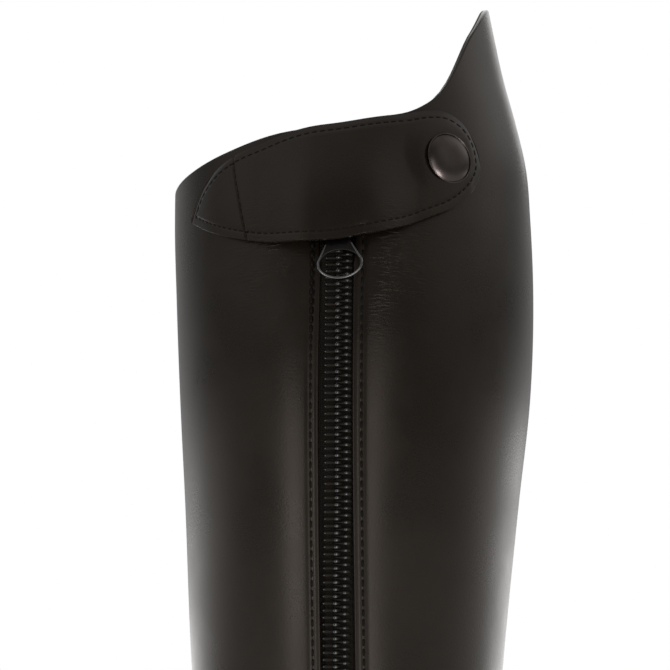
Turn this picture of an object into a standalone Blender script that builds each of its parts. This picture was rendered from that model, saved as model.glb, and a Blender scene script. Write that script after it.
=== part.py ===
"""Right tall riding boot: centre-back zip, snapped closing flap and a top line with a peak.

Metres in the scene, millimetres in the script. +Z is up, +Y points to the toe and +X to the outer
side of the leg. The origin is on the floor under the middle of the heel.

The upper is one wall round a closed outline at every height. Each outline runs from the back line
to the front line, and its half widths come from the foot's stations low down and from the shaft's
widths higher up. The zip, the flap and the snap are set off from the same surface.
"""

import bmesh
import bpy
import numpy as np
from mathutils import Matrix, Vector

MM = 0.001
GAP = 0.3  # clearance between pieces that touch

# Driving sizes, mm
WALL = 2.4  # leather and lining together
HEEL_RISE = 27.4  # seat above the forefoot
OUTSOLE_THICK = 5.0
WELT_THICK = 3.0
LIFT_THICK = 6.0  # rubber top piece of the heel
TOE_SPRING = 5.4  # rise of the upper's lower edge from the ball to its toe
BALL_START, BALL_END = 128.0, 172.0  # flat stretch under the ball, along Y
BREAST = 29.0  # front face of the heel
EDGE_TOE = 231.0  # toe of the upper's lower edge
MARGIN_FORE, MARGIN_HEEL = 4.5, 2.5  # how far the sole stands out from the upper
WELT_INSET = 0.6  # welt's edge inside the sole's edge
INSOLE_ABOVE = 1.5  # insole surface above the upper's lower edge
BALL_LEVEL = OUTSOLE_THICK + WELT_THICK + 2 * GAP  # upper's lower edge at the ball
SEAT_LEVEL = BALL_LEVEL + HEEL_RISE
TOE_LEVEL = BALL_LEVEL + TOE_SPRING

PEAK_ANGLE = 91.0  # peak of the top line, degrees from the zip to the outer side
PEAK_RISE = 43.3
PEAK_BACK, PEAK_SHOULDER, PEAK_FRONT = 20.0, 60.5, 165.0  # where the peak leaves the top line
TIP_SHARE, TIP_FROM = 0.61, 31.6  # slower part of the rise, up to the tip

SLOT_HALF = 6.0  # zip slot, each side of the zip's line
TAPE_COLUMNS, TAPE_THICK = (0.2, 4.5, 9.0, 13.0), 0.8  # tape from the zip's line outwards
CHAIN_HALF = 3.85
ZIP_FOOT = 74.0  # lower end of the tapes
CHAIN_FOOT, CHAIN_ABOVE = 88.0, 10.0  # lower end, and upper end above the hinge
TAPE_TOP = 448.0
HINGE_HEIGHT = 418.2  # pull tab's hinge on the zip
HINGE_DROP = 3.2  # hinge below the slider's middle
HINGE_OUT = 2.1  # hinge above the leather
SLIDER_SHIFT = 0.25  # slider off the zip's line, towards the outer side
PULL_TURN = 5.2  # pull hangs a little askew on its bridge, degrees
PULL_THICK = 1.0

FLAP_THICK = 2.0
SLIDER_ROOM = 4.4  # how far the flap stands off over the slider
FLAP_DROP = 1.7  # flap's edge below the top line
FLAP_END, FLAP_ROUND_FROM, FLAP_MIDDLE = 48.8, 33.0, 443.0
SNAP_ANGLE, SNAP_HEIGHT, SNAP_RADIUS = 35.2, 443.4, 8.5

TO_PEAK, TO_FRONT = 15, 16  # columns of faces from the zip to the peak, and on to the front
SHARP_ANGLE = 35.0  # edges sharper than this stay crisp, degrees

# Finishes: colour, roughness, metallic
LEATHER = (0.012, 0.011, 0.010), 0.42, 0.0
SOLE_LEATHER = (0.02, 0.017, 0.014), 0.5, 0.0
RUBBER = (0.015, 0.015, 0.015), 0.7, 0.0
CLOTH = (0.01, 0.01, 0.01), 0.9, 0.0
COIL = (0.012, 0.012, 0.012), 0.45, 0.0
DARK_METAL = (0.12, 0.11, 0.10), 0.28, 1.0


def table(names, rows):
    """Give a short table as one array for each named column."""
    return dict(zip(names.split(), np.array(rows, dtype=float).T))


BACK_LINE = table("height at", [
    (30, -33.0), (SEAT_LEVEL, -34.0), (46, -35.5), (60, -33.5), (80, -28.0), (105, -23.0), (135, -21.0),
    (165, -22.5), (200, -26.5), (260, -36.0), (300, -42.3), (330, -46.3), (360, -48.0),
    (393, -45.5), (425, -39.5), (455, -32.0), (505, -21.0)])

FRONT_LINE = table("height at", [
    (8, 229.0), (TOE_LEVEL, EDGE_TOE), (22, 233.0), (31, 230.5), (40, 222.0), (48, 209.0), (57, 190.0),
    (67, 168.0), (78, 148.0), (90, 130.0), (103, 115.0), (118, 100.5), (135, 87.0), (155, 76.0),
    (175, 70.0), (200, 68.0), (230, 69.5), (260, 72.0), (300, 75.0), (360, 79.5), (425, 80.0),
    (505, 77.0)])

# Half widths of the shaft from the zip's line
SHAFT = table("height outer inner", [
    (36, 32.0, 32.0), (60, 34.5, 34.0), (90, 38.0, 37.5), (120, 40.0, 40.0), (150, 40.5, 41.5),
    (200, 42.5, 46.0), (283, 48.9, 53.2), (337, 54.6, 55.4), (371, 58.5, 57.3), (404, 59.7, 59.0),
    (431, 58.8, 60.2), (449, 57.4, 60.2), (465, 53.9, 59.0), (479, 50.2, 57.0), (505, 44.8, 55.0)])

# Middle line and half widths of the foot, from heel to toe
FOOT = table("along middle outer inner", [
    (-40, 0.0, 33.0, 33.0), (0, 0.0, 33.0, 33.0), (40, 0.5, 33.5, 31.5), (75, 1.0, 35.5, 32.0),
    (105, 1.0, 41.0, 38.0), (135, 0.5, 46.0, 45.0), (160, -1.5, 46.5, 47.5),
    (190, -4.5, 45.0, 46.0), (215, -7.0, 42.0, 43.0), (240, -8.5, 40.0, 41.0)])

# Rings round the foot and ankle: height at back and front, and how much of the sole's sweep each keeps
RINGS = table("back front sweep", [
    (SEAT_LEVEL, TOE_LEVEL, 1.0), (41, 19, 1.0), (49, 27, 0.95), (60, 37, 0.85), (72, 46, 0.7),
    (84, 54, 0.55), (95, 62, 0.42), (106, 72, 0.3), (117, 84, 0.2), (128, 98, 0.1), (140, 114, 0.05),
    (152, 132, 0.0), (166, 152, 0.0), (182, 175, 0.0), (199, 197, 0.0)])
SLOT_ROW = 5  # ring at the lower end of the zip slot
SHAFT_ROWS = (218.0, 238.0, 258.0, 278.0, 298.0, 317.0, 335.0, 352.0, 369.0, 386.0)
COLLAR_SHARES = (0.2, 0.4, 0.6, 0.8, 1.0)  # rows from the last shaft row up to the top line

# Top line without its peak: angle from the zip, outer side positive
TOP_LINE = table("angle height", [
    (-180, 452.0), (-130, 443.0), (-85, 440.8), (-62, 443.7), (-40, 448.2), (-20, 452.7),
    (0, 454.8), (25, 459.6), (60, 462.0), (110, 460.0), (180, 452.0)])

# Flap: lower and upper edge by angle, before its outer end is rounded
FLAP = table("angle low high", [
    (-54.5, 426.4, 428.0), (-51, 424.3, 434.6), (-46, 421.9, 440.2), (-36, 418.4, 446.8),
    (-20, 414.8, 455.0), (0, 413.6, 460.0), (20, 419.4, 460.5), (32, 424.8, 460.5),
    (50, 431.5, 460.5)])


def smooth(value, low, high):
    """Ease from 0 at low to 1 at high."""
    share = np.clip((value - low) / (high - low), 0.0, 1.0)
    return share * share * (3.0 - 2.0 * share)


def mix(first, second, share):
    return first + (second - first) * share


def through(xs, ys, at):
    """Read a smooth curve through a table's points."""
    at = np.clip(at, xs[0], xs[-1])
    slopes = np.gradient(ys, xs)
    index = np.clip(np.searchsorted(xs, at) - 1, 0, len(xs) - 2)
    step = xs[index + 1] - xs[index]
    t = (at - xs[index]) / step
    rise = ys[index] * (1 + 2 * t) + slopes[index] * step * t
    fall = ys[index + 1] * (3 - 2 * t) - slopes[index + 1] * step * (1 - t)
    return rise * (1 - t) ** 2 + fall * t ** 2


def back_line(z):
    return through(BACK_LINE["height"], BACK_LINE["at"], z)


def front_line(z):
    return through(FRONT_LINE["height"], FRONT_LINE["at"], z)


def feather(y):
    """Height of the upper's lower edge: seat, shank, flat ball and toe spring."""
    seat = HEEL_RISE * (1.0 - smooth(y, BREAST, BALL_START))
    spring = TOE_SPRING * np.maximum((y - BALL_END) / (EDGE_TOE - BALL_END), 0.0) ** 2
    return BALL_LEVEL + seat + spring


def half_widths(y, z):
    """Give the middle of the outline at y and z, and its half width to each side.

    The outline is full between two stations and rounded to nothing at the back and front lines.
    """
    back, front = back_line(z), front_line(z)
    centre = (back + front) / 2
    ankle_low, ankle_high = 60.0, 200.0
    shaft = smooth(z, ankle_low, ankle_high)
    heel_round, instep_start = 36.0, 40.0
    round_back = mix(back + heel_round, centre, shaft)
    round_front = mix(instep_start, centre, shaft)
    to_back = np.clip((round_back - y) / (round_back - back), 0.0, 1.0)
    to_front = np.clip((y - round_front) / (front - round_front), 0.0, 1.0)
    ellipse, heel_square, toe_square, toe_low, toe_high = 2.0, 2.3, 2.8, 20.0, 60.0
    square_back = mix(heel_square, ellipse, shaft)
    square_front = mix(toe_square, ellipse, smooth(z, toe_low, toe_high))
    full = (1 - to_back ** square_back) ** (1 / square_back)
    full = full * (1 - to_front ** square_front) ** (1 / square_front)
    tuck, tuck_reach = 0.045, 6.0
    full = full * (1 - tuck * np.exp(-np.maximum(z - feather(y), 0.0) / tuck_reach))
    leg_low, leg_high = 45.0, 125.0
    leg = smooth(z, leg_low, leg_high)

    def side_width(side):
        foot = through(FOOT["along"], FOOT[side], y)
        return mix(foot, through(SHAFT["height"], SHAFT[side], z), leg) * full

    middle = through(FOOT["along"], FOOT["middle"], y) * (1 - leg)
    return middle, side_width("outer"), side_width("inner")


def outline_point(theta, y, z):
    """Point of the outline at y and z, on the outer side where sin(theta) is positive."""
    middle, outer, inner = half_widths(y, z)
    x = middle + np.where(np.sin(theta) >= 0, outer, -inner)
    return np.stack([x, y, z], axis=-1)


def along(theta, back, front):
    return back + (front - back) * (1 - np.cos(theta)) / 2


def ring(theta, back_z, front_z, sweep):
    """Loop round the foot from the back line to the front line, keeping some of the sole's sweep."""
    start, end = back_line(back_z), front_line(front_z)
    y = along(theta, start, end)
    share = (y - start) / (end - start)
    chord = mix(feather(start), feather(end), share)
    z = mix(back_z, front_z, share) + sweep * (feather(y) - chord)
    return outline_point(theta, y, z)


def shaft_point(theta, z):
    """Point of the level outline at height z."""
    return outline_point(theta, along(theta, back_line(z), front_line(z)), z)


def skin(theta, z, out=0.0):
    """Point at a distance from the leather's surface, measured square to it."""
    theta, z = np.broadcast_arrays(np.asarray(theta, float), np.asarray(z, float))
    turn, rise = 0.01, 0.5
    around = shaft_point(theta + turn, z) - shaft_point(theta - turn, z)
    up = shaft_point(theta, z + rise) - shaft_point(theta, z - rise)
    normal = np.cross(around, up)
    normal = normal / np.linalg.norm(normal, axis=-1, keepdims=True)
    return shaft_point(theta, z) + normal * np.asarray(out)[..., None]


def top_height(angle):
    """Height of the top line, with its peak on the outer side, by angle from the zip."""
    rise = mix(smooth(angle, PEAK_BACK, PEAK_SHOULDER), smooth(angle, TIP_FROM, PEAK_ANGLE), TIP_SHARE)
    peak = np.where(angle < PEAK_ANGLE, rise, 1 - smooth(angle, PEAK_ANGLE, PEAK_FRONT))
    return through(TOP_LINE["angle"], TOP_LINE["height"], angle) + PEAK_RISE * peak


def top_at(theta):
    """Height of the top line where the outline is at theta."""
    return top_height(np.degrees(np.where(theta > np.pi, theta - 2 * np.pi, theta)))


def angle_at(x, loop):
    """Angle at which a loop lies x from the zip's line."""
    reach, steps = 0.5, 200
    fine = np.linspace(0.0, reach, steps) * np.sign(x)
    return np.interp(abs(x), np.abs(loop(fine)[:, 0]), fine)


def level_angles(xs, z):
    """Angles at which the level outline at height z lies at each x."""
    return np.array([angle_at(x, lambda theta: shaft_point(theta, np.full_like(theta, z))) for x in xs])


def material(name, finish):
    colour, roughness, metallic = finish
    made = bpy.data.materials.new(name)
    made.use_nodes = True
    shader = made.node_tree.nodes["Principled BSDF"]
    shader.inputs["Base Color"].default_value = (*colour, 1.0)
    shader.inputs["Roughness"].default_value = roughness
    shader.inputs["Metallic"].default_value = metallic
    return made


def place(name, mesh, finish):
    """Put a mesh into the scene as a named object with its own material."""
    mesh.shade_smooth()
    mesh.set_sharp_from_angle(angle=np.radians(SHARP_ANGLE))
    mesh.materials.append(material(name, finish))
    obj = bpy.data.objects.new(name, mesh)
    bpy.context.collection.objects.link(obj)
    return obj


def add_object(name, verts, faces, finish):
    """Make one named object from points in millimetres."""
    mesh = bpy.data.meshes.new(name)
    mesh.from_pydata((np.asarray(verts) * MM).tolist(), [], [list(face) for face in faces])
    return place(name, mesh, finish)


def grid_quads(rows, columns):
    ids = np.arange(rows * columns).reshape(rows, columns)
    quads = np.stack([ids[:-1, :-1], ids[:-1, 1:], ids[1:, 1:], ids[1:, :-1]], axis=-1)
    return quads.reshape(-1, 4)


def add_shell(name, outer, inner, quads, finish):
    """Close two sheets with the same faces into one solid, walling every open edge."""
    outer, inner = np.reshape(outer, (-1, 3)), np.reshape(inner, (-1, 3))
    used = np.unique(quads)
    renumber = np.zeros(len(outer), dtype=int)
    renumber[used] = np.arange(len(used))
    quads = [tuple(int(i) for i in renumber[np.asarray(quad)]) for quad in quads]
    count = len(used)
    edges = {(quad[i], quad[(i + 1) % len(quad)]) for quad in quads for i in range(len(quad))}
    faces = list(quads)
    faces += [tuple(i + count for i in reversed(quad)) for quad in quads]
    faces += [(b, a, a + count, b + count) for a, b in sorted(edges) if (b, a) not in edges]
    return add_object(name, np.concatenate([outer[used], inner[used]]), faces, finish)


def add_plate(name, top, bottom, finish):
    """Close two matching loops into a plate, with cross strips from side to side on each face."""
    count = len(top)
    half = count // 2
    strips = [(0, 1, count - 1)]
    strips += [(j, j + 1, count - j - 1, count - j) for j in range(1, half - 1)]
    strips.append((half - 1, half, half + 1))
    faces = list(strips)
    faces += [tuple(i + count for i in reversed(strip)) for strip in strips]
    faces += [((j + 1) % count, j, j + count, (j + 1) % count + count) for j in range(count)]
    return add_object(name, np.concatenate([top, bottom]), faces, finish)


def add_prism(name, loops, finish):
    """Loft a run of matching loops, with a flat face at each end. The first loop is the lowest."""
    count = len(loops[0])
    faces = [tuple(reversed(range(count)))]
    for level in range(len(loops) - 1):
        low, high = level * count, (level + 1) * count
        faces += [(low + j, low + (j + 1) % count, high + (j + 1) % count, high + j) for j in range(count)]
    faces.append(tuple(range((len(loops) - 1) * count, len(loops) * count)))
    return add_object(name, np.concatenate(loops), faces, finish)


def round_angles(loop):
    """Angles of a loop's columns: the zip's line, the outer side to the front, the inner side back."""
    peak = np.radians(PEAK_ANGLE)
    outer, inner = [np.concatenate([np.linspace(abs(angle_at(x, loop)), peak, TO_PEAK + 1),
                                    np.linspace(peak, np.pi, TO_FRONT + 1)[1:]])
                    for x in (SLOT_HALF, -SLOT_HALF)]
    return np.concatenate([[0.0], outer, 2 * np.pi - inner[-2::-1]])


def row_heights():
    """Height of each of the upper's rows on the zip's line."""
    collar = mix(SHAFT_ROWS[-1], top_height(np.array(0.0)), np.array(COLLAR_SHARES))
    return np.concatenate([RINGS["back"], SHAFT_ROWS, collar])


def zip_heights(low, high):
    """Rows of a strip along the zip, bent at the same heights as the upper."""
    rows = row_heights()
    return np.concatenate([[low], rows[(rows > low + 1.0) & (rows < high - 1.0)], [high]])


def upper_rows():
    """Points of the upper's outer face, one row per ring. Column 0 is the zip's line."""
    def foot_loop(back, front, sweep):
        return lambda theta: ring(theta, back, front, sweep)

    def level_loop(height):
        return lambda theta: shaft_point(theta, np.full_like(theta, height))

    def collar_loop(share):
        return lambda theta: shaft_point(theta, mix(SHAFT_ROWS[-1], top_at(theta), share))

    loops = [foot_loop(*row) for row in zip(*RINGS.values())]
    loops += [level_loop(height) for height in SHAFT_ROWS]
    loops += [collar_loop(share) for share in COLLAR_SHARES]
    return np.array([loop(round_angles(loop)) for loop in loops])


def upper():
    """Vamp and shaft: one wall, open at the top line, at the zip slot and underneath."""
    outer = upper_rows()
    around = np.roll(outer, -1, axis=1) - np.roll(outer, 1, axis=1)
    normal = np.cross(around, np.gradient(outer, axis=0))
    normal[0, :, 2] = 0.0  # the lower edge is cut level
    normal /= np.linalg.norm(normal, axis=-1, keepdims=True)
    inner = outer - WALL * normal
    rows, columns = outer.shape[:2]
    ids = np.arange(rows * columns).reshape(rows, columns)
    closed = np.concatenate([ids, ids[:, :1]], axis=1)
    quads = np.stack([closed[:-1, :-1], closed[:-1, 1:], closed[1:, 1:], closed[1:, :-1]], axis=-1)
    keep = np.ones(quads.shape[:2], dtype=bool)
    keep[SLOT_ROW:, [0, -1]] = False
    add_shell("upper", outer, inner, quads[keep], LEATHER)


def sole_loop(margin, height):
    """Outline of the upper's lower edge, set out by a margin, at a height given from y."""
    return set_out(lower_edge(round_angles(lower_edge)), margin, height)


def lower_edge(theta):
    return ring(theta, RINGS["back"][0], RINGS["front"][0], RINGS["sweep"][0])


def set_out(edge, margin, height):
    run = np.roll(edge, -1, axis=0) - np.roll(edge, 1, axis=0)
    normal = np.stack([run[:, 1], -run[:, 0]], axis=-1)
    normal /= np.linalg.norm(normal, axis=-1, keepdims=True)
    loop = edge.copy()
    loop[:, :2] += normal * np.reshape(margin(edge[:, 1]), (-1, 1))
    loop[:, 2] = height(loop[:, 1])
    return loop


def sole_margin(y):
    seat_end, waist_end = 10.0, 110.0
    return mix(MARGIN_HEEL, MARGIN_FORE, smooth(y, seat_end, waist_end))


def welt_bottom(y):
    return feather(y) - GAP - WELT_THICK


def outsole_top(y):
    return welt_bottom(y) - GAP


def outsole_bottom(y):
    return outsole_top(y) - OUTSOLE_THICK


def sole_unit():
    """Outsole, welt and insole plates that follow the upper's lower edge."""
    add_plate("outsole", sole_loop(sole_margin, outsole_top), sole_loop(sole_margin, outsole_bottom),
              SOLE_LEATHER)

    def welt_edge(y):
        return sole_margin(y) - WELT_INSET

    def welt_hole(y):
        return np.full_like(y, -WALL)

    def welt_top(y):
        return feather(y) - GAP

    loops = [sole_loop(welt_edge, welt_bottom), sole_loop(welt_edge, welt_top),
             sole_loop(welt_hole, welt_top), sole_loop(welt_hole, welt_bottom)]
    count = len(loops[0])
    faces = []
    for level in range(4):
        low, high = level * count, (level + 1) % 4 * count
        faces += [(low + j, low + (j + 1) % count, high + (j + 1) % count, high + j) for j in range(count)]
    add_object("welt", np.concatenate(loops), faces, SOLE_LEATHER)

    def insole_edge(y):
        return np.full_like(y, -WALL - 4 * GAP)

    add_plate("insole", sole_loop(insole_edge, lambda y: feather(y) + INSOLE_ABOVE),
              sole_loop(insole_edge, lambda y: outsole_top(y) + GAP), LEATHER)


def heel_unit():
    """Stacked heel and its rubber top piece, a little smaller towards the floor."""
    steps = 14
    start, end = back_line(RINGS["back"][0]), front_line(RINGS["front"][0])
    reach = np.arccos(1 - 2 * (BREAST - start) / (end - start))
    theta = np.linspace(-reach, reach, 2 * steps + 1)
    edge = lower_edge(theta)
    seat = outsole_bottom(np.array(0.0)) - GAP
    taper, breast_lean = 2.0, 2.5
    loops = []
    for height in (0.0, LIFT_THICK - GAP, LIFT_THICK, seat):
        share = 1 - height / seat
        margin = MARGIN_HEEL - taper * share
        loop = set_out(edge, lambda y: np.full_like(y, margin), lambda y: np.full_like(y, height))
        loop[[0, -1], 1] = BREAST - breast_lean * share
        loop[[0, -1], 0] = loop[[1, -2], 0] + (edge[[0, -1], 0] - edge[[1, -2], 0])
        loops.append(loop)
    add_prism("heel_lift", loops[:2], RUBBER)
    add_prism("heel", loops[2:], SOLE_LEATHER)


def zip_tapes():
    """Two tapes behind the slot's edges, meeting under the chain."""
    heights = zip_heights(ZIP_FOOT, TAPE_TOP)
    face = -WALL - GAP
    for name, side in (("zip_tape_outer", 1), ("zip_tape_inner", -1)):
        x = np.sort(np.array(TAPE_COLUMNS) * side)
        theta = np.array([level_angles(x, height) for height in heights])
        z = np.broadcast_to(heights[:, None], theta.shape)
        add_shell(name, skin(theta, z, np.full(theta.shape, face)),
                  skin(theta, z, np.full(theta.shape, face - TAPE_THICK)),
                  grid_quads(*theta.shape), CLOTH)


def zip_chain():
    """Closed coil: a low ridge along the zip's line, on the tapes."""
    back_face, shoulder, crown, crown_half = -WALL, -1.0, -0.15, 2.6
    section = np.array([(-CHAIN_HALF, back_face), (-CHAIN_HALF, shoulder), (-crown_half, crown),
                        (crown_half, crown), (CHAIN_HALF, shoulder), (CHAIN_HALF, back_face)])
    loops = []
    for height in zip_heights(CHAIN_FOOT, HINGE_HEIGHT + CHAIN_ABOVE):
        theta = level_angles(section[:, 0], height)
        loops.append(skin(theta, np.full(len(section), height), section[:, 1]))
    add_prism("zip_chain", loops, COIL)


def zip_frame(height):
    """Matrix of the zip at a height: X across, Y up along the zip, Z out of the leather, in metres."""
    step = 2.0
    rise = back_line(height + step) - back_line(height - step)
    up = Vector((0.0, rise, 2 * step)).normalized()
    across = Vector((1.0, 0.0, 0.0))
    out = across.cross(up)
    frame = Matrix((across, up, out)).transposed().to_4x4()
    frame.translation = Vector((SLIDER_SHIFT, back_line(height), height)) * MM
    return frame


def extrude_outline(name, loops, low, high, finish):
    """Extrude a flat outline with any holes from low to high, along Z."""
    builder = bmesh.new()
    for loop in loops:
        verts = [builder.verts.new((x * MM, y * MM, low * MM)) for x, y in loop]
        for index, vert in enumerate(verts):
            builder.edges.new((vert, verts[(index + 1) % len(verts)]))
    bmesh.ops.triangle_fill(builder, use_beauty=True, edges=builder.edges[:])
    body = bmesh.ops.extrude_face_region(builder, geom=builder.faces[:])
    moved = [item for item in body["geom"] if isinstance(item, bmesh.types.BMVert)]
    bmesh.ops.translate(builder, verts=moved, vec=(0.0, 0.0, (high - low) * MM))
    bmesh.ops.recalc_face_normals(builder, faces=builder.faces[:])
    mesh = bpy.data.meshes.new(name)
    builder.to_mesh(mesh)
    builder.free()
    return place(name, mesh, finish)


def zip_slider():
    """Slider over the chain: top plate with side flanges, and the bridge that holds the pull."""
    frame = zip_frame(HINGE_HEIGHT + HINGE_DROP)
    half_length, top_half, foot_half = 8.0, 5.4, 4.9
    plate_low, plate_high, flange_low, overcut = 0.2, 1.2, -1.8, 1.0
    slider = extrude_outline("zip_slider", [[(-foot_half, -half_length), (foot_half, -half_length),
                                             (top_half, half_length), (-top_half, half_length)]],
                             flange_low, plate_high, DARK_METAL)
    channel_half, channel_end = CHAIN_HALF + GAP / 2 + SLIDER_SHIFT, half_length + overcut
    channel = extrude_outline("slider_channel", [[(-channel_half, -channel_end), (channel_half, -channel_end),
                                                  (channel_half, channel_end), (-channel_half, channel_end)]],
                              flange_low - overcut, plate_low, DARK_METAL)
    leg, span, under, crown, bridge_half = 1.0, 5.2, 3.0, 3.9, 1.5
    foot, corner_x, corner_z = (plate_low + plate_high) / 2, 1.2, 0.8
    arch = [(-span, foot), (-span, crown - corner_z), (-span + corner_x, crown), (span - corner_x, crown),
            (span, crown - corner_z), (span, foot), (span - leg, foot),
            (span - leg, under), (-span + leg, under), (-span + leg, foot)]
    bridge = extrude_outline("slider_bridge", [arch], -bridge_half, bridge_half, DARK_METAL)
    stand = Matrix(((0, 0, 1, 0), (1, 0, 0, 0), (0, 1, 0, 0), (0, 0, 0, 1)))
    for tool, operation, where in ((channel, "DIFFERENCE", frame), (bridge, "UNION", frame @ stand)):
        tool.matrix_world = where
        tool.hide_render = True
        tool.display_type = "WIRE"
        cut = slider.modifiers.new(tool.name, "BOOLEAN")
        cut.operation = operation
        cut.object = tool
        cut.solver = "EXACT"
    slider.matrix_world = frame


def zip_pull():
    """Pull tab with an oval ring, hung on the slider's bridge by its top bar."""
    neck_half, bar_half, window_half, window_foot, shoulder = 4.5, 0.5, 2.0, 3.0, 4.6
    ring_at, ring_x, ring_y, hole_x, hole_y = 11.8, 7.4, 5.4, 6.0, 4.2
    ring_top, ring_points = 25.0, 25

    def oval(turns, half_x, half_y):
        return [(half_x * np.cos(turn), half_y * np.sin(turn) - ring_at) for turn in np.radians(turns)]

    body = [(-neck_half, -shoulder), (-neck_half, bar_half), (neck_half, bar_half), (neck_half, -shoulder)]
    body += oval(np.linspace(ring_top, -180.0 - ring_top, ring_points), ring_x, ring_y)
    hole = oval(np.linspace(0.0, 360.0, ring_points)[:-1], hole_x, hole_y)
    window = [(-window_half, -window_foot), (window_half, -window_foot),
              (window_half, -bar_half), (-window_half, -bar_half)]
    pull = extrude_outline("zip_pull", [body, hole, window], -PULL_THICK / 2, PULL_THICK / 2, DARK_METAL)
    hinge = Matrix.Translation((0.0, -HINGE_DROP * MM, HINGE_OUT * MM))
    turn = Matrix.Rotation(np.radians(PULL_TURN), 4, "Z")
    pull.matrix_world = zip_frame(HINGE_HEIGHT + HINGE_DROP) @ hinge @ turn


def flap_lift(angle, z):
    """How far the flap's underside stands off the leather: close at its ends, raised over the slider."""
    level, ramp_end = 7.0, 26.0
    slider_top, settled, settling = 432.0, 454.0, 0.7
    reach = np.abs(np.radians(angle)) * through(SHAFT["height"], SHAFT["outer"], z)
    over = 1 - smooth(reach, level, ramp_end)
    return GAP + SLIDER_ROOM * over * (1 - settling * smooth(z, slider_top, settled))


def flap_edges(angle):
    """Lower and upper edge of the flap, pointed at its inner end and round at the snap."""
    last = 0.995  # short straight end, so that no face is empty
    to_end = np.clip((angle - FLAP_ROUND_FROM) / (FLAP_END - FLAP_ROUND_FROM), 0.0, last)
    full = np.sqrt(1 - to_end ** 2)
    low = through(FLAP["angle"], FLAP["low"], angle)
    high = np.minimum(through(FLAP["angle"], FLAP["high"], angle), top_height(angle) - FLAP_DROP)
    return mix(FLAP_MIDDLE, low, full), mix(FLAP_MIDDLE, high, full)


def zip_flap():
    """Leaf-shaped flap between two sheets set off from the shaft's own surface."""
    straight_columns, round_columns, rows = 25, 7, 8
    straight = np.linspace(FLAP["angle"][0], FLAP_ROUND_FROM, straight_columns)
    quarter = np.radians(np.linspace(0.0, 90.0, round_columns))[1:]
    rounded = mix(FLAP_ROUND_FROM, FLAP_END, np.sin(quarter))
    angle = np.concatenate([straight, rounded])[None, :]
    low, high = flap_edges(angle)
    z = mix(low, high, np.linspace(0.0, 1.0, rows)[:, None])
    angle = np.broadcast_to(angle, z.shape)
    theta, lift = np.radians(angle), flap_lift(angle, z)
    add_shell("zip_flap", skin(theta, z, lift + FLAP_THICK), skin(theta, z, lift),
              grid_quads(*z.shape), LEATHER)


def snap_cap():
    """Domed cap of the press stud, on the flap's outer end."""
    rings, turns = np.array([0.3, 0.62, 0.86, 1.0]), 24
    edge, dome = 0.7, 2.0
    turn = np.arange(turns) * 2 * np.pi / turns
    width = through(SHAFT["height"], SHAFT["outer"], SNAP_HEIGHT)
    theta = np.radians(SNAP_ANGLE) + SNAP_RADIUS * rings[:, None] * np.cos(turn) / width
    z = SNAP_HEIGHT + SNAP_RADIUS * rings[:, None] * np.sin(turn)
    seat = flap_lift(np.degrees(theta), z) + FLAP_THICK + GAP
    foot = skin(theta, z, seat)
    top = skin(theta, z, seat + edge + dome * (1 - rings[:, None] ** 2))
    add_prism("snap_cap", [*foot, *top[::-1]], DARK_METAL)


def main():
    for obj in list(bpy.data.objects):
        bpy.data.objects.remove(obj, do_unlink=True)
    upper()
    sole_unit()
    heel_unit()
    zip_tapes()
    zip_chain()
    zip_slider()
    zip_pull()
    zip_flap()
    snap_cap()


main()
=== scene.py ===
import math

import bpy
import numpy as np
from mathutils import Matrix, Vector


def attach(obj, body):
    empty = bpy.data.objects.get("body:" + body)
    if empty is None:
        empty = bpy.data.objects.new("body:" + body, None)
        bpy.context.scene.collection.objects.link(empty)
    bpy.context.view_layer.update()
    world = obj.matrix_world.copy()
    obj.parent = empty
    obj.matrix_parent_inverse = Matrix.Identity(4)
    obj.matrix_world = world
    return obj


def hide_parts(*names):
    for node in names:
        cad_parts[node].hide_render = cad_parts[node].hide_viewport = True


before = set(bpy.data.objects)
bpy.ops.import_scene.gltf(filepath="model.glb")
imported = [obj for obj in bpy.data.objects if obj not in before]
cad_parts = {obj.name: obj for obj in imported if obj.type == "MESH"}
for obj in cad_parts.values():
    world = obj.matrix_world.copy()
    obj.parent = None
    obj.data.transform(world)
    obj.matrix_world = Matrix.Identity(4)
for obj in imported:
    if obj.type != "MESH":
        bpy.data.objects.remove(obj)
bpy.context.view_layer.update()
mm = 0.001
print("frame:", len(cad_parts), "nodes")


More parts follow.
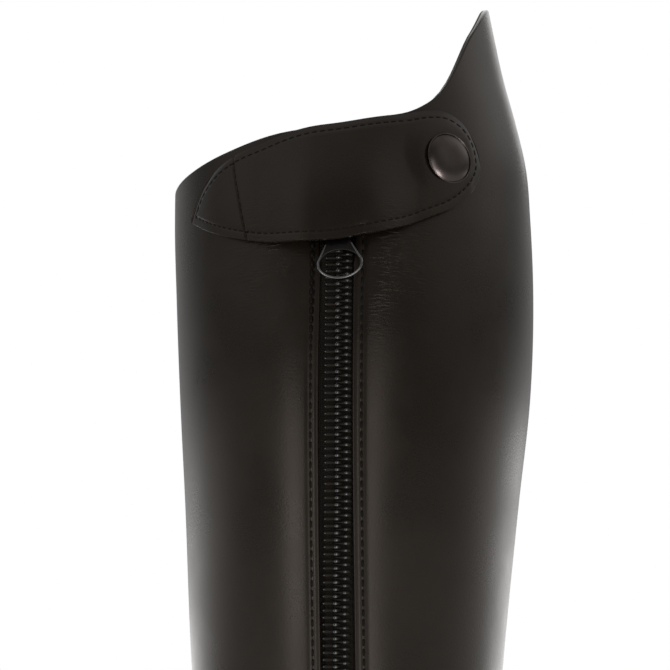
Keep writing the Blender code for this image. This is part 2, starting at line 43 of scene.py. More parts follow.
# Curves of the last, mm. z is up, y runs to the toe, x to the outer side of the leg
last = {
    "back": [(30, -33.0), (36, -34.0), (46, -35.5), (60, -33.5), (80, -28.0), (105, -23.0), (135, -21.0),
             (165, -22.5), (200, -26.5), (260, -36.0), (300, -42.3), (330, -46.3), (360, -48.0),
             (393, -45.5), (425, -39.5), (455, -32.0), (505, -21.0)],
    "front": [(8, 229.0), (14, 231.0), (22, 233.0), (31, 230.5), (40, 222.0), (48, 209.0), (57, 190.0),
              (67, 168.0), (78, 148.0), (90, 130.0), (103, 115.0), (118, 100.5), (135, 87.0), (155, 76.0),
              (175, 70.0), (200, 68.0), (230, 69.5), (260, 72.0), (300, 75.0), (360, 79.5), (425, 80.0),
              (505, 77.0)],
    # height, outer and inner half width
    "shaft": [(36, 32.0, 32.0), (60, 34.5, 34.0), (90, 38.0, 37.5), (120, 40.0, 40.0), (150, 40.5, 41.5),
              (200, 42.5, 46.0), (283, 48.9, 53.2), (337, 54.6, 55.4), (371, 58.5, 57.3), (404, 59.7, 59.0),
              (431, 58.8, 60.2), (449, 57.4, 60.2), (465, 53.9, 59.0), (479, 50.2, 57.0), (505, 44.8, 55.0)],
    # along the foot: middle line, outer and inner half width
    "foot": [(-40, 0.0, 33.0, 33.0), (0, 0.0, 33.0, 33.0), (40, 0.5, 33.5, 31.5), (75, 1.0, 35.5, 32.0),
             (105, 1.0, 41.0, 38.0), (135, 0.5, 46.0, 45.0), (160, -1.5, 46.5, 47.5),
             (190, -4.5, 45.0, 46.0), (215, -7.0, 42.0, 43.0), (240, -8.5, 40.0, 41.0)],
    # angle from the zip, and height of the top line without its peak
    "top": [(-180, 452.0), (-130, 443.0), (-85, 440.8), (-62, 443.7), (-40, 448.2), (-20, 452.7),
            (0, 454.8), (25, 459.6), (60, 462.0), (110, 460.0), (180, 452.0)],
    "peakAngle": 91.0, "peakRise": 43.3, "peakBack": 20.0, "peakShoulder": 60.5, "peakFront": 165.0,
    "tipShare": 0.61, "tipFrom": 31.6,
    "ballLevel": 8.6, "heelRise": 27.4, "toeSpring": 5.4, "breast": 29.0, "ballStart": 128.0,
    "ballEnd": 172.0, "edgeToe": 231.0,
    "ankle": (60.0, 200.0), "leg": (45.0, 125.0), "heelRound": 36.0, "instepStart": 40.0,
    "heelSquare": 2.3, "toeSquare": 2.8, "toeHeights": (20.0, 60.0), "tuck": 0.045, "tuckReach": 6.0,
}


def smoothStep(value, low, high):  # 0 at low, 1 at high, level at both ends
    share = np.clip((value - low) / (high - low), 0.0, 1.0)
    return share * share * (3.0 - 2.0 * share)


def lerp(first, second, share):  # first at a share of 0, second at 1
    return first + (second - first) * share


def bell(value, middle, width):  # 1 at the middle, fading as a soft bell
    return np.exp(-((value - middle) / width) ** 2)


# cubic pieces through a table's rows, each row's slope read from its neighbours
def curveThrough(rows, at, column=1):
    xs, ys = np.array(rows, float).T[[0, column]]
    at = np.clip(at, xs[0], xs[-1])
    slopes = np.gradient(ys, xs)
    index = np.clip(np.searchsorted(xs, at) - 1, 0, len(xs) - 2)
    step = xs[index + 1] - xs[index]
    t = (at - xs[index]) / step
    rise = ys[index] * (1 + 2 * t) + slopes[index] * step * t
    fall = ys[index + 1] * (3 - 2 * t) - slopes[index + 1] * step * (1 - t)
    return rise * (1 - t) ** 2 + fall * t ** 2


# lower edge of the upper: seat, eased down the shank to the flat ball, then a square curve up to the toe
def featherAt(y):
    seat = last["heelRise"] * (1.0 - smoothStep(y, last["breast"], last["ballStart"]))
    past = np.maximum((y - last["ballEnd"]) / (last["edgeToe"] - last["ballEnd"]), 0.0)
    return last["ballLevel"] + seat + last["toeSpring"] * past ** 2


# half widths at y and z: full between two stations, then rounded off as a superellipse to the back and front
def halfWidths(y, z):
    back, front = curveThrough(last["back"], z), curveThrough(last["front"], z)
    centre = (back + front) / 2
    shaft = smoothStep(z, *last["ankle"])
    roundBack = lerp(back + last["heelRound"], centre, shaft)
    roundFront = lerp(last["instepStart"], centre, shaft)
    toBack = np.clip((roundBack - y) / (roundBack - back), 0.0, 1.0)
    toFront = np.clip((y - roundFront) / (front - roundFront), 0.0, 1.0)
    squareBack = lerp(last["heelSquare"], 2.0, shaft)
    squareFront = lerp(last["toeSquare"], 2.0, smoothStep(z, *last["toeHeights"]))
    full = (1 - toBack ** squareBack) ** (1 / squareBack)
    full = full * (1 - toFront ** squareFront) ** (1 / squareFront)
    above = np.maximum(z - featherAt(y), 0.0)
    full = full * (1 - last["tuck"] * np.exp(-above / last["tuckReach"]))
    leg = smoothStep(z, *last["leg"])
    outer = lerp(curveThrough(last["foot"], y, 2), curveThrough(last["shaft"], z, 1), leg) * full
    inner = lerp(curveThrough(last["foot"], y, 3), curveThrough(last["shaft"], z, 2), leg) * full
    return curveThrough(last["foot"], y) * (1 - leg), outer, inner


def outlinePoint(theta, y, z):  # outer side where sin(theta) is positive, inner side where it is negative
    middle, outer, inner = halfWidths(y, z)
    return np.stack([middle + np.where(np.sin(theta) >= 0, outer, -inner), y, z], axis=-1)


# loop round the foot: y runs from back to front as a cosine, z on the chord plus a share of the sole's sweep
def ringPoint(theta, backZ, frontZ, sweep):
    start, end = curveThrough(last["back"], backZ), curveThrough(last["front"], frontZ)
    share = (1 - np.cos(theta)) / 2
    y = lerp(start, end, share)
    chord = lerp(featherAt(start), featherAt(end), share)
    return outlinePoint(theta, y, lerp(backZ, frontZ, share) + sweep * (featherAt(y) - chord))


def shaftPoint(theta, z):  # level loop: the same cosine from the back line to the front line
    back, front = curveThrough(last["back"], z), curveThrough(last["front"], z)
    return outlinePoint(theta, lerp(back, front, (1 - np.cos(theta)) / 2), z)


def unit(vectors):
    return vectors / np.linalg.norm(vectors, axis=-1, keepdims=True)


# normal of the shaft: the cross product of a small step round it and a small step up
def shaftNormal(theta, z, turn=0.01, rise=0.5):
    around = shaftPoint(theta + turn, z) - shaftPoint(theta - turn, z)
    return unit(np.cross(around, shaftPoint(theta, z + rise) - shaftPoint(theta, z - rise)))


def skinPoint(theta, z, out):  # a distance out from the leather, square to it
    theta, z, out = np.broadcast_arrays(theta, z, out)
    return shaftPoint(theta, z) + shaftNormal(theta, z) * out[..., None]


# top line by angle: the table, plus a peak eased up from the back, slower to its tip, and down to the front
def topHeight(angle):
    rise = lerp(smoothStep(angle, last["peakBack"], last["peakShoulder"]),
                smoothStep(angle, last["tipFrom"], last["peakAngle"]), last["tipShare"])
    fall = 1 - smoothStep(angle, last["peakAngle"], last["peakFront"])
    peak = np.where(angle < last["peakAngle"], rise, fall)
    return curveThrough(last["top"], angle) + last["peakRise"] * peak


def degreesFromZip(theta):  # -180 to 180, outer side positive
    return np.degrees(np.where(theta > np.pi, theta - 2 * np.pi, theta))


# sheets, solids and pieces

def gridFaces(rows, columns, wrap=False):  # quads of a grid, wrap joins its last column to its first
    ids = np.arange(rows * columns).reshape(rows, columns)
    if wrap:
        ids = np.concatenate([ids, ids[:, :1]], axis=1)
    return np.stack([ids[:-1, :-1], ids[:-1, 1:], ids[1:, 1:], ids[1:, :-1]], axis=-1)


# two sheets with the same faces, walled along every open edge into one solid
def closeSheets(outer, inner, faces):
    outer, inner, faces = outer.reshape(-1, 3), inner.reshape(-1, 3), faces.reshape(-1, 4)
    used = np.unique(faces)
    faces = np.searchsorted(used, faces)
    count = len(used)
    starts, ends = faces.ravel(), np.roll(faces, -1, axis=1).ravel()
    free = ~np.isin(starts * count + ends, ends * count + starts)
    a, b = starts[free], ends[free]
    walls = np.stack([b, a, a + count, b + count], axis=-1)
    return np.concatenate([outer[used], inner[used]]), np.concatenate([faces, faces[:, ::-1] + count, walls])


def joinParts(parts):  # several parts as one, each with its points and then its face arrays
    points, faces, start = [], [], 0
    for partPoints, *faceArrays in parts:
        points.append(partPoints.reshape(-1, 3))
        for array in faceArrays:
            faces += (array.reshape(-1, array.shape[-1]) + start).tolist()
        start += len(points[-1])
    return np.concatenate(points), faces


def tubeFaces(rings, sides, copies=1):  # a tube's sides and its two flat ends, once for each copy
    starts = (np.arange(copies) * rings * sides)[:, None, None]
    ends = np.arange(sides)
    caps = np.stack([ends[::-1], ends + (rings - 1) * sides])
    return gridFaces(rings, sides, wrap=True).reshape(-1, 4)[None] + starts, caps[None] + starts


# a piece of the boot from points in mm; stands names the CAD nodes it replaces
def addPiece(name, points, faces, material, body="boot", stands=(), sharp=40.0, weld=0.0):
    mesh = bpy.data.meshes.new(name)
    faces = faces.tolist() if isinstance(faces, np.ndarray) else faces
    mesh.from_pydata((points.reshape(-1, 3) * mm).tolist(), [], faces)
    mesh.validate()
    mesh.shade_smooth()
    mesh.set_sharp_from_angle(angle=math.radians(sharp))
    mesh.materials.append(material)
    piece = bpy.data.objects.new(name, mesh)
    bpy.context.collection.objects.link(piece)
    if weld:
        merge = piece.modifiers.new("weld", "WELD")
        merge.merge_threshold = weld * mm
    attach(piece, body)
    if stands:
        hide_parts(*stands)
    print("piece:", name, len(mesh.vertices), "points", len(mesh.polygons), "faces")


# shader maths: a wrapped socket, where an operator adds its Math node

class Wire:
    def __init__(self, tree, socket=None):
        self.tree, self.socket = tree, socket

    # a new node with its settings and inputs, wrapped at the output to go on with
    def node(self, kind, settings=None, inputs=None, output=0):
        made = self.tree.nodes.new(kind)
        for key, value in (settings or {}).items():
            if key == "stops":
                ramp = made.color_ramp.elements
                while len(ramp) < len(value):
                    ramp.new(0.5)
                for stop, (at, colour) in zip(ramp, value):
                    stop.position, stop.color = at, (*colour, 1.0)
            else:
                setattr(made, key, value)
        for key, value in (inputs or {}).items():
            if isinstance(value, Wire):
                self.tree.links.new(value.socket, made.inputs[key])
            else:
                made.inputs[key].default_value = value
        return Wire(self.tree, made.outputs[output])

    def math(self, operation, *values):  # a Math node of these numbers and wires
        return self.node("ShaderNodeMath", {"operation": operation}, dict(enumerate(values)))

    def __add__(self, other):
        return self.math("ADD", self, other)

    def __radd__(self, other):
        return self.math("ADD", other, self)

    def __sub__(self, other):
        return self.math("SUBTRACT", self, other)

    def __rsub__(self, other):
        return self.math("SUBTRACT", other, self)

    def __mul__(self, other):
        return self.math("MULTIPLY", self, other)

    def __rmul__(self, other):
        return self.math("MULTIPLY", other, self)

    def __truediv__(self, other):
        return self.math("DIVIDE", self, other)

    def axis(self, name):  # one coordinate of a vector
        return self.node("ShaderNodeSeparateXYZ", None, {0: self}, "XYZ".index(name))

    def scaled(self, x, y, z):  # each coordinate times its own factor
        return self.node("ShaderNodeVectorMath", {"operation": "MULTIPLY"}, {0: self, 1: (x, y, z)})

    def noise(self, size, detail=2.0, rough=0.5):  # soft noise with spots of about this size, mm
        return self.node("ShaderNodeTexNoise", None,
                         {"Vector": self, "Scale": 1.0 / (size * mm), "Detail": detail, "Roughness": rough})

    def cells(self, size):  # distance to the nearest cell centre
        return self.node("ShaderNodeTexVoronoi", None, {"Vector": self, "Scale": 1.0 / (size * mm)})

    def eased(self, low, high):  # 0 below low, 1 above high
        return self.node("ShaderNodeMapRange", {"interpolation_type": "SMOOTHSTEP"},
                         {0: self, 1: low, 2: high, 3: 0.0, 4: 1.0})

    def bellAt(self, middle, width):  # soft hump of 1 at the middle, mm
        away = (self - middle * mm) / (width * mm)
        return self.math("EXPONENT", away * away * -1.0)

    def colours(self, first, second):  # first colour at 0, second at 1
        return self.node("ShaderNodeMix", {"data_type": "RGBA"},
                         {0: self, 6: (*first, 1.0), 7: (*second, 1.0)}, 2)


# a Principled finish: numbers go on the shader's own sockets, wires are linked, height goes through one bump
def addFinish(name, paint, **settings):
    finish = bpy.data.materials.new(name)
    finish.use_nodes = True
    tree = finish.node_tree
    shader = tree.nodes["Principled BSDF"]
    place = Wire(tree).node("ShaderNodeTexCoord", None, None, "Object")
    values = {**settings, **paint(place)}
    height, depth = values.pop("height", None), values.pop("depth", 0.1)
    if height is not None:
        values["Normal"] = place.node("ShaderNodeBump", None,
                                      {"Strength": 1.0, "Distance": depth * mm, "Height": height})
    for key, value in values.items():
        if isinstance(value, Wire):
            tree.links.new(value.socket, shader.inputs[key])
        elif isinstance(value, tuple) and len(value) == 3:
            shader.inputs[key].default_value = (*value, 1.0)
        else:
            shader.inputs[key].default_value = value
    return finish


# boot leather: pebbled grain, pores, fine level wrinkles beside the zip, uneven polish
shaftFinish = {
    "dark": (0.0120, 0.0086, 0.0060), "light": (0.0185, 0.0136, 0.0098),
    "grainSize": 0.6, "poreSize": 1.1, "wrinkleSize": (3.4, 3.4, 0.8), "patchSize": 9.0, "blotch": 26.0,
    "wrinkleZones": [(-24.0, 10.0, 408.0, 17.0), (19.0, 9.0, 408.0, 19.0)],  # x, half width, z, half height
    "zoneStop": (-30.0, 0.0), "smooth": 0.03,  # y over which they stop, and their share elsewhere
    "shares": (0.16, 0.1, 0.9),  # of grain, pores and wrinkles in the height
    "rough": (0.25, 0.34), "roughShares": (0.6, 0.4), "depth": 0.13,
}


# height is grain, pores and wrinkles by their shares; wrinkles fade out from each zone as a bell
def paintLeather(place):
    f = shaftFinish
    grain = place.noise(f["grainSize"], 3.0, 0.6)
    pores = place.cells(f["poreSize"]).eased(0.0, 0.45)
    wrinkle = place.scaled(*(1 / size for size in f["wrinkleSize"])).noise(1.0, 2.0, 0.5).eased(0.3, 0.7)
    x, y, z = place.axis("X"), place.axis("Y"), place.axis("Z")
    zones = 0.0
    for middle, reach, level, half in f["wrinkleZones"]:
        zones = x.bellAt(middle, reach) * z.bellAt(level, half) + zones
    stop = y.eased(*(value * mm for value in f["zoneStop"]))
    zones = zones * (1.0 - stop) * place.noise(f["patchSize"], 1.0).eased(0.34, 0.66) + f["smooth"]
    blotch = place.noise(f["blotch"], 3.0, 0.55).eased(0.3, 0.7)
    low, high = f["rough"]
    ofBlotch, ofGrain = f["roughShares"]
    grainShare, poreShare, wrinkleShare = f["shares"]
    return {"Base Color": blotch.colours(f["dark"], f["light"]),
            "Roughness": blotch * (high - low) * ofBlotch + grain * (high - low) * ofGrain + low,
            "height": grain * grainShare + pores * poreShare + wrinkle * zones * wrinkleShare,
            "depth": f["depth"]}


def paintLining(place):  # matt, with a fine grain
    grain = place.noise(0.8, 3.0, 0.6)
    blotch = place.noise(30.0, 2.0).eased(0.3, 0.7)
    return {"Base Color": blotch.colours((0.022, 0.018, 0.015), (0.034, 0.028, 0.023)),
            "Roughness": grain * 0.15 + 0.55, "height": grain, "depth": 0.12}


def paintThread(place):  # twisted, so uneven along its run
    twist = place.noise(0.35, 2.0)
    return {"Base Color": twist.colours((0.0055, 0.0046, 0.0038), (0.0115, 0.0094, 0.0078)),
            "Roughness": 0.45, "height": twist, "depth": 0.06}


def paintTape(place):  # a sine of z for the ribs across, plus a sine of x for the warp threads
    ribPitch, warpPitch = 0.55, 0.7
    rib = place.math("SINE", place.axis("Z") * (2 * math.pi / (ribPitch * mm)))
    warp = place.math("SINE", place.axis("X") * (2 * math.pi / (warpPitch * mm)))
    weave = rib * 0.3 + warp * 0.2 + 0.5
    return {"Base Color": weave.colours((0.0100, 0.0082, 0.0062), (0.0230, 0.0192, 0.0150)),
            "Roughness": 0.85, "height": weave, "depth": 0.15}


def paintCoil(place):  # moulded plastic, half dull
    speck = place.noise(0.5, 2.0)
    return {"Base Color": speck.colours((0.0145, 0.0125, 0.0102), (0.0240, 0.0208, 0.0170)),
            "Roughness": speck * 0.1 + 0.42}


def paintHeads(place):  # the coil's crowns, rubbed bright by the slider
    speck = place.noise(0.5, 2.0)
    return {"Base Color": speck.colours((0.012, 0.011, 0.010), (0.018, 0.016, 0.014)),
            "Roughness": speck * 0.04 + 0.065}


def brushing(place):  # noise drawn out level and packed close up and down
    return place.scaled(0.2, 0.2, 1.6).noise(0.5, 2.0)


def paintGunmetal(place):  # plated: fine brushing, a few darker patches
    brush = brushing(place)
    patch = place.noise(3.0, 3.0).eased(0.35, 0.7)
    return {"Base Color": patch.colours((0.24, 0.235, 0.23), (0.30, 0.295, 0.29)),
            "Roughness": brush * 0.1 + 0.1, "Metallic": 1.0, "height": brush, "depth": 0.01}


def paintPlate(place):  # a darker copy of the gunmetal with the same brushing: painted shade standing in for the dark reflection on the plate's face
    brush = brushing(place)
    return {"Base Color": brush.colours((0.045, 0.042, 0.040), (0.060, 0.057, 0.055)),
            "Roughness": brush * 0.1 + 0.28, "Metallic": 1.0, "height": brush, "depth": 0.015}


def paintSnap(place):  # dark plated metal, faintly cloudy
    cloud = place.noise(6.0, 2.0).eased(0.3, 0.7)
    return {"Base Color": cloud.colours((0.088, 0.073, 0.067), (0.102, 0.086, 0.078)),
            "Roughness": cloud * 0.04 + 0.26, "Metallic": 1.0}


def paintWelt(place):  # waxed, worn lighter in patches
    grain = place.noise(0.7, 3.0)
    wear = place.noise(9.0, 3.0).eased(0.45, 0.75)
    return {"Base Color": wear.colours((0.012, 0.010, 0.008), (0.022, 0.017, 0.013)),
            "Roughness": grain * 0.15 + 0.38, "height": grain, "depth": 0.12}


def paintSole(place):  # waxed edges, a browner scuffed underside
    grain = place.noise(0.5, 4.0, 0.65)
    fibre = place.scaled(1.0, 0.2, 1.0).noise(2.0, 3.0)
    scuff = fibre.eased(0.4, 0.75)
    return {"Base Color": scuff.colours((0.014, 0.011, 0.009), (0.030, 0.023, 0.017)),
            "Roughness": scuff * 0.2 + 0.34, "height": grain * 0.5 + fibre * 0.5, "depth": 0.14}


def paintHeel(place):  # stacked lifts: a fine dark line at each joint, where z is a whole number of lifts
    liftHeight = 5.3
    layers = place.math("FRACT", place.axis("Z") / (liftHeight * mm))
    joint = layers.eased(0.0, 0.06) * (1.0 - layers.eased(0.94, 1.0))
    fibre = place.scaled(0.3, 0.3, 2.0).noise(1.4, 3.0)
    tone = (joint * 0.6 + fibre * 0.4).eased(0.2, 0.9)
    return {"Base Color": tone.colours((0.006, 0.005, 0.004), (0.022, 0.017, 0.013)),
            "Roughness": fibre * 0.2 + 0.3, "height": joint * 0.7 + fibre * 0.3, "depth": 0.15}


def paintRubber(place):  # matt, finely moulded
    grain = place.noise(0.9, 3.0)
    return {"Base Color": grain.colours((0.011, 0.011, 0.011), (0.020, 0.020, 0.020)),
            "Roughness": grain * 0.15 + 0.62, "height": grain, "depth": 0.1}


warmShine = {"Specular Tint": (1.0, 0.88, 0.78)}
leather = addFinish("boot leather", paintLeather, **warmShine)
lining = addFinish("lining leather", paintLining)
thread = addFinish("black thread", paintThread, **{"Specular IOR Level": 0.18, **warmShine})
tape = addFinish("zip tape", paintTape, **warmShine)
coilBlack = addFinish("coil black", paintCoil, **{"Specular IOR Level": 0.3,
                                                  "Specular Tint": (1.0, 0.9, 0.8)})
coilHeads = addFinish("coil heads", paintHeads, **{"IOR": 1.8, "Specular IOR Level": 0.7, "Coat Weight": 0.6,
                                                   "Coat Roughness": 0.05})
gunmetal = addFinish("gunmetal", paintGunmetal)
# the pull's plate gets the gunmetal darkened as painted shade, in place of the dark reflection on its face
plateShadeMetal = addFinish("plate painted shade", paintPlate)
snapMetal = addFinish("snap metal", paintSnap)
weltLeather = addFinish("welt leather", paintWelt)
soleLeather = addFinish("sole leather", paintSole)
heelLeather = addFinish("stacked heel", paintHeel)
rubber = addFinish("heel rubber", paintRubber)
print("finishes:", len(bpy.data.materials))


# the upper
upper = {
    "wall": 2.4, "leather": 1.3, "seam": 0.05,  # the seam is the gap between leather and lining
    "slotHalf": 5.4, "slotRow": 5.0, "slotFade": (-0.3, 0.4),
    "sliderRoom": 0.5, "sliderFrom": (407.0, 412.5),  # the slot is wider beside the slider, under the flap
    # ring heights at back and front, and how much of the sole's sweep each keeps
    "rings": [(36, 14, 1.0), (41, 19, 1.0), (49, 27, 0.95), (60, 37, 0.85), (72, 46, 0.7), (84, 54, 0.55),
              (95, 62, 0.42), (106, 72, 0.3), (117, 84, 0.2), (128, 98, 0.1), (140, 114, 0.05),
              (152, 132, 0.0), (166, 152, 0.0), (182, 175, 0.0), (199, 197, 0.0), (218, 218, 0.0),
              (238, 238, 0.0), (258, 258, 0.0), (278, 278, 0.0), (298, 298, 0.0), (317, 317, 0.0),
              (335, 335, 0.0), (352, 352, 0.0), (369, 369, 0.0), (386, 386, 0.0)],
    "rows": 196, "collarRows": 5.0,
    "rimSteps": (0.0, 0.012, 0.03, 0.055, 0.085, 0.12, 0.17, 0.24),  # last rows below the rim
    "rimClear": 0.02,
    # columns close together beside the slot, mm from its edge, then even ones
    "edgeSteps": (0.0, 0.12, 0.3, 0.55, 0.9, 1.3, 1.7, 2.1, 2.6, 3.1, 3.6, 4.2, 5.0, 6.0, 7.2, 8.6, 10.2),
    "halfColumns": 92, "edgeRound": 0.55, "rimRound": 0.4, "meanHalf": 58.0,
    "stitchRows": (2.9, 2.6), "stitchDip": 0.4, "stitchWidth": 0.75,  # mm from the outer and inner edge
    "foldAt": 3.2, "foldSlope": 0.1, "foldRound": 0.8,
    "sinkWidth": 9.0, "sink": 1.2, "sinkFrom": (378.0, 404.0),  # slack on the inner side, under the flap
    "shoulder": 0.75, "reliefStop": 6.0,  # creases' shoulders, and no relief at the rim
    # creases: middle angle, half angle, height, rise at the ends, half width, depth
    "creases": [(180, 112, 121, 12.0, 6.5, 1.1), (180, 98, 146, 8.0, 6.0, 0.9),
                (180, 118, 172, 5.0, 8.0, 0.8), (-20, 74, 128, -5.0, 7.0, 0.7),
                (34, 66, 152, -4.0, 6.5, 0.5), (-64, 42, 205, 5.0, 9.0, 0.5),
                (70, 46, 232, -6.0, 10.0, 0.45), (-112, 40, 268, 7.0, 12.0, 0.4)],
    # flex of the vamp: y of the crease on top, its slant across the foot, half width, depth
    "flexes": [(139.0, 0.22, 4.5, 0.55), (151.0, 0.16, 4.0, 0.45)],
    "flexAbove": (14.0, 34.0), "flexMiddle": -4.0,  # heights over the sole where it starts, and its middle x
}


def upperPoint(theta, row):  # rings up to the last shaft row, then shares of the way up to the top line
    rings = np.array([(index, *ring) for index, ring in enumerate(upper["rings"])], float)
    lastRow = rings[-1, 0]
    backZ, frontZ, sweep = (curveThrough(rings, row, column) for column in (1, 2, 3))
    share = np.clip((row - lastRow) / upper["collarRows"], 0.0, 1.0)
    collar = shaftPoint(theta, lerp(rings[-1, 1], topHeight(degreesFromZip(theta)), share))
    return np.where((row > lastRow)[..., None], collar, ringPoint(theta, backZ, frontZ, sweep))


# angle from the zip where x comes to its reach, found by halving
def angleBeside(pointAt, at, side, reach, widest=0.6, halvings=24):
    low, high = np.zeros_like(at), np.full_like(at, widest)
    for _ in range(halvings):
        middle = (low + high) / 2
        points = pointAt(side * middle, at)
        wide = np.abs(points[..., 0]) > reach(points)
        low, high = np.where(wide, low, middle), np.where(wide, middle, high)
    return high


def slotReach(points):  # half the slot, eased wider beside the slider
    return upper["slotHalf"] + upper["sliderRoom"] * smoothStep(points[..., 2], *upper["sliderFrom"])


# column shares from the slot's edge to the front: close steps at the edge, even ones after it
def columnShares(skip=1):
    close = np.array(upper["edgeSteps"]) / upper["meanHalf"] / np.pi
    even = np.linspace(close[-1], 1.0, upper["halfColumns"])[1:]
    if skip == 1:
        return np.concatenate([close, even])
    return np.concatenate([close[::2], even[1::skip], [1.0]])


def rowPlaces(skip=1):  # row numbers up the boot: even ones, the rim's own, and one at the slot's foot
    rimRow = len(upper["rings"]) - 1 + upper["collarRows"]
    rows = np.linspace(0.0, rimRow, upper["rows"] // skip)
    rim = rimRow - np.array(upper["rimSteps"])
    rows = rows[rows < rim[-1] - upper["rimClear"]]
    return np.unique(np.concatenate([rows, rim, [upper["slotRow"]]]))


def edgeRoll(away, radius):  # how far a rounded edge falls back: a quarter circle
    short = np.clip(radius - away, 0.0, radius)
    return radius - np.sqrt(radius ** 2 - short ** 2)


# the strip beside the zip leans in from a fold: a straight slope, rounded where it starts
def foldFall(away):
    inside = upper["foldAt"] - away
    return upper["foldSlope"] * (inside + np.hypot(inside, upper["foldRound"])) / 2


def trough(t):  # a dip of 1 with low shoulders: a bell times a falling square
    return (1 - upper["shoulder"] * t ** 2) * np.exp(-t ** 2)


# soft relief, mm outwards: each crease is a trough, bent across its angle and faded at both ends
def creaseRelief(theta, points):
    angle = np.degrees(theta) % 360.0
    relief = np.zeros(angle.shape)
    for middle, half, height, rise, width, depth in upper["creases"]:
        away = ((angle - middle + 180.0) % 360.0 - 180.0) / half
        fade = np.clip(1 - away ** 2, 0.0, 1.0) ** 2
        relief -= depth * fade * trough((points[..., 2] - height - rise * away ** 2) / width)
    top = smoothStep(points[..., 2] - featherAt(points[..., 1]), *upper["flexAbove"])
    for along, slant, width, depth in upper["flexes"]:
        aside = np.abs(points[..., 0] - upper["flexMiddle"])
        relief -= depth * top * trough((points[..., 1] - along - slant * aside) / width)
    return relief


# one layer of the boot: rows up it, columns from the slot's right edge round the front to its left edge, then
# three across the slot that are kept below its foot; points go out by the relief and in by the edges' roll
def upperSheets(skip, offsets, edgeRound, rimRound):
    rows, shares = rowPlaces(skip)[:, None], columnShares(skip)[None, :]
    right, left = (angleBeside(upperPoint, rows, side, slotReach) for side in (1, -1))
    across = np.concatenate([lerp(right, np.pi, shares), 2 * np.pi - lerp(left, np.pi, shares)[:, -2::-1],
                             2 * np.pi - left / 2, np.zeros_like(left), right / 2], axis=1)
    row = np.broadcast_to(rows, across.shape)
    points = upperPoint(across, row)
    columns, slotColumns = across.shape[1], 3
    around = np.roll(points, -1, axis=1) - np.roll(points, 1, axis=1)
    normal = np.cross(around, np.gradient(points, axis=0))
    normal[0, :, 2] = 0.0
    normal = unit(normal)
    # distances to the slot's edges along each row, and to the rim up each column
    steps = np.linalg.norm(np.diff(points[:, :-slotColumns], axis=1), axis=-1)
    fromRight = np.concatenate([np.zeros_like(rows), np.cumsum(steps, axis=1)], axis=1)
    toEdge = np.minimum(fromRight, fromRight[:, -1:] - fromRight)
    toEdge = np.concatenate([toEdge, np.zeros((len(rows), slotColumns))], axis=1)
    climbs = np.linalg.norm(np.diff(points, axis=0), axis=-1)
    toRim = np.concatenate([np.cumsum(climbs[::-1], axis=0)[::-1], np.zeros((1, columns))])
    toRim = toRim * np.hypot(around[-1, :, 0], around[-1, :, 1]) / np.linalg.norm(around[-1], axis=-1)
    slit = smoothStep(row - upper["slotRow"], *upper["slotFade"])
    relief = creaseRelief(across, points)
    relief -= slit * foldFall(toEdge)
    slack = smoothStep(points[..., 2], *upper["sinkFrom"]) * (points[..., 0] < 0.0)
    relief -= slack * upper["sink"] * bell(toEdge, 0.0, upper["sinkWidth"])
    rowAt = np.where(points[..., 0] > 0.0, *upper["stitchRows"])
    relief -= slit * upper["stitchDip"] * bell(toEdge, rowAt, upper["stitchWidth"])
    roll = np.maximum(edgeRoll(toRim, rimRound), edgeRoll(toEdge, edgeRound) * (row >= upper["slotRow"]))
    relief *= smoothStep(toRim, 0.0, upper["reliefStop"])
    outer = points + normal * (relief + offsets[0] - roll * (offsets[0] == 0.0))[..., None]
    inner = points + normal * (relief + offsets[1] + roll * (offsets[0] < 0.0))[..., None]
    faces = gridFaces(len(rows), columns, wrap=True)
    keep = np.ones(faces.shape[:2], bool)
    first = int(np.searchsorted(rows[:, 0], upper["slotRow"]))
    keep[first:, -slotColumns - 1:] = False
    return closeSheets(outer, inner, faces[keep])


points, faces = upperSheets(1, (0.0, -upper["leather"]), upper["edgeRound"], upper["rimRound"])
addPiece("upper_leather", points, faces, leather, stands=["upper"], sharp=55.0)
liningDepths = (-upper["leather"] - upper["seam"], -upper["wall"])
points, faces = upperSheets(2, liningDepths, upper["edgeRound"], upper["edgeRound"])
addPiece("upper_lining", points, faces, lining, sharp=55.0)


# the zip
acrossZip = np.array((1.0, 0.0, 0.0))


# a place beside the zip's line: across is +x, up follows the back line, out is square to both
def zipPlace(height, across, out, step=2.0):
    rise = curveThrough(last["back"], height + step) - curveThrough(last["back"], height - step)
    up = unit(np.stack([np.zeros_like(rise), rise, np.full_like(rise, 2 * step)], axis=-1))
    outward = np.cross(acrossZip, up)
    line = np.stack([np.zeros_like(height), curveThrough(last["back"], height), height], axis=-1)
    return line + across[..., None] * acrossZip + out[..., None] * outward, up, outward


def evenPlaces(points, pitch):  # places along a path at an even pitch, as fractional point numbers
    run = np.concatenate([[0.0], np.cumsum(np.linalg.norm(np.diff(points, axis=0), axis=-1))])
    count = max(int(run[-1] / pitch), 2)
    return np.interp((np.arange(count) + 0.5) * run[-1] / count, run, np.arange(len(points)))


def readPath(values, places):  # a path's rows at fractional point numbers
    return np.stack([np.interp(places, np.arange(len(values)), values[:, k]) for k in range(3)], axis=-1)


# tube: a ring of sides round each point of a path, in the plane of two given directions
def tubeGrid(path, first, second, radiusFirst, radiusSecond, sides):
    turn = np.arange(sides) * 2 * np.pi / sides
    ring = first[:, None] * (np.cos(turn) * np.reshape(radiusFirst, (-1, 1)))[..., None]
    ring = ring + second[:, None] * (np.sin(turn) * np.reshape(radiusSecond, (-1, 1)))[..., None]
    return path[:, None] + ring


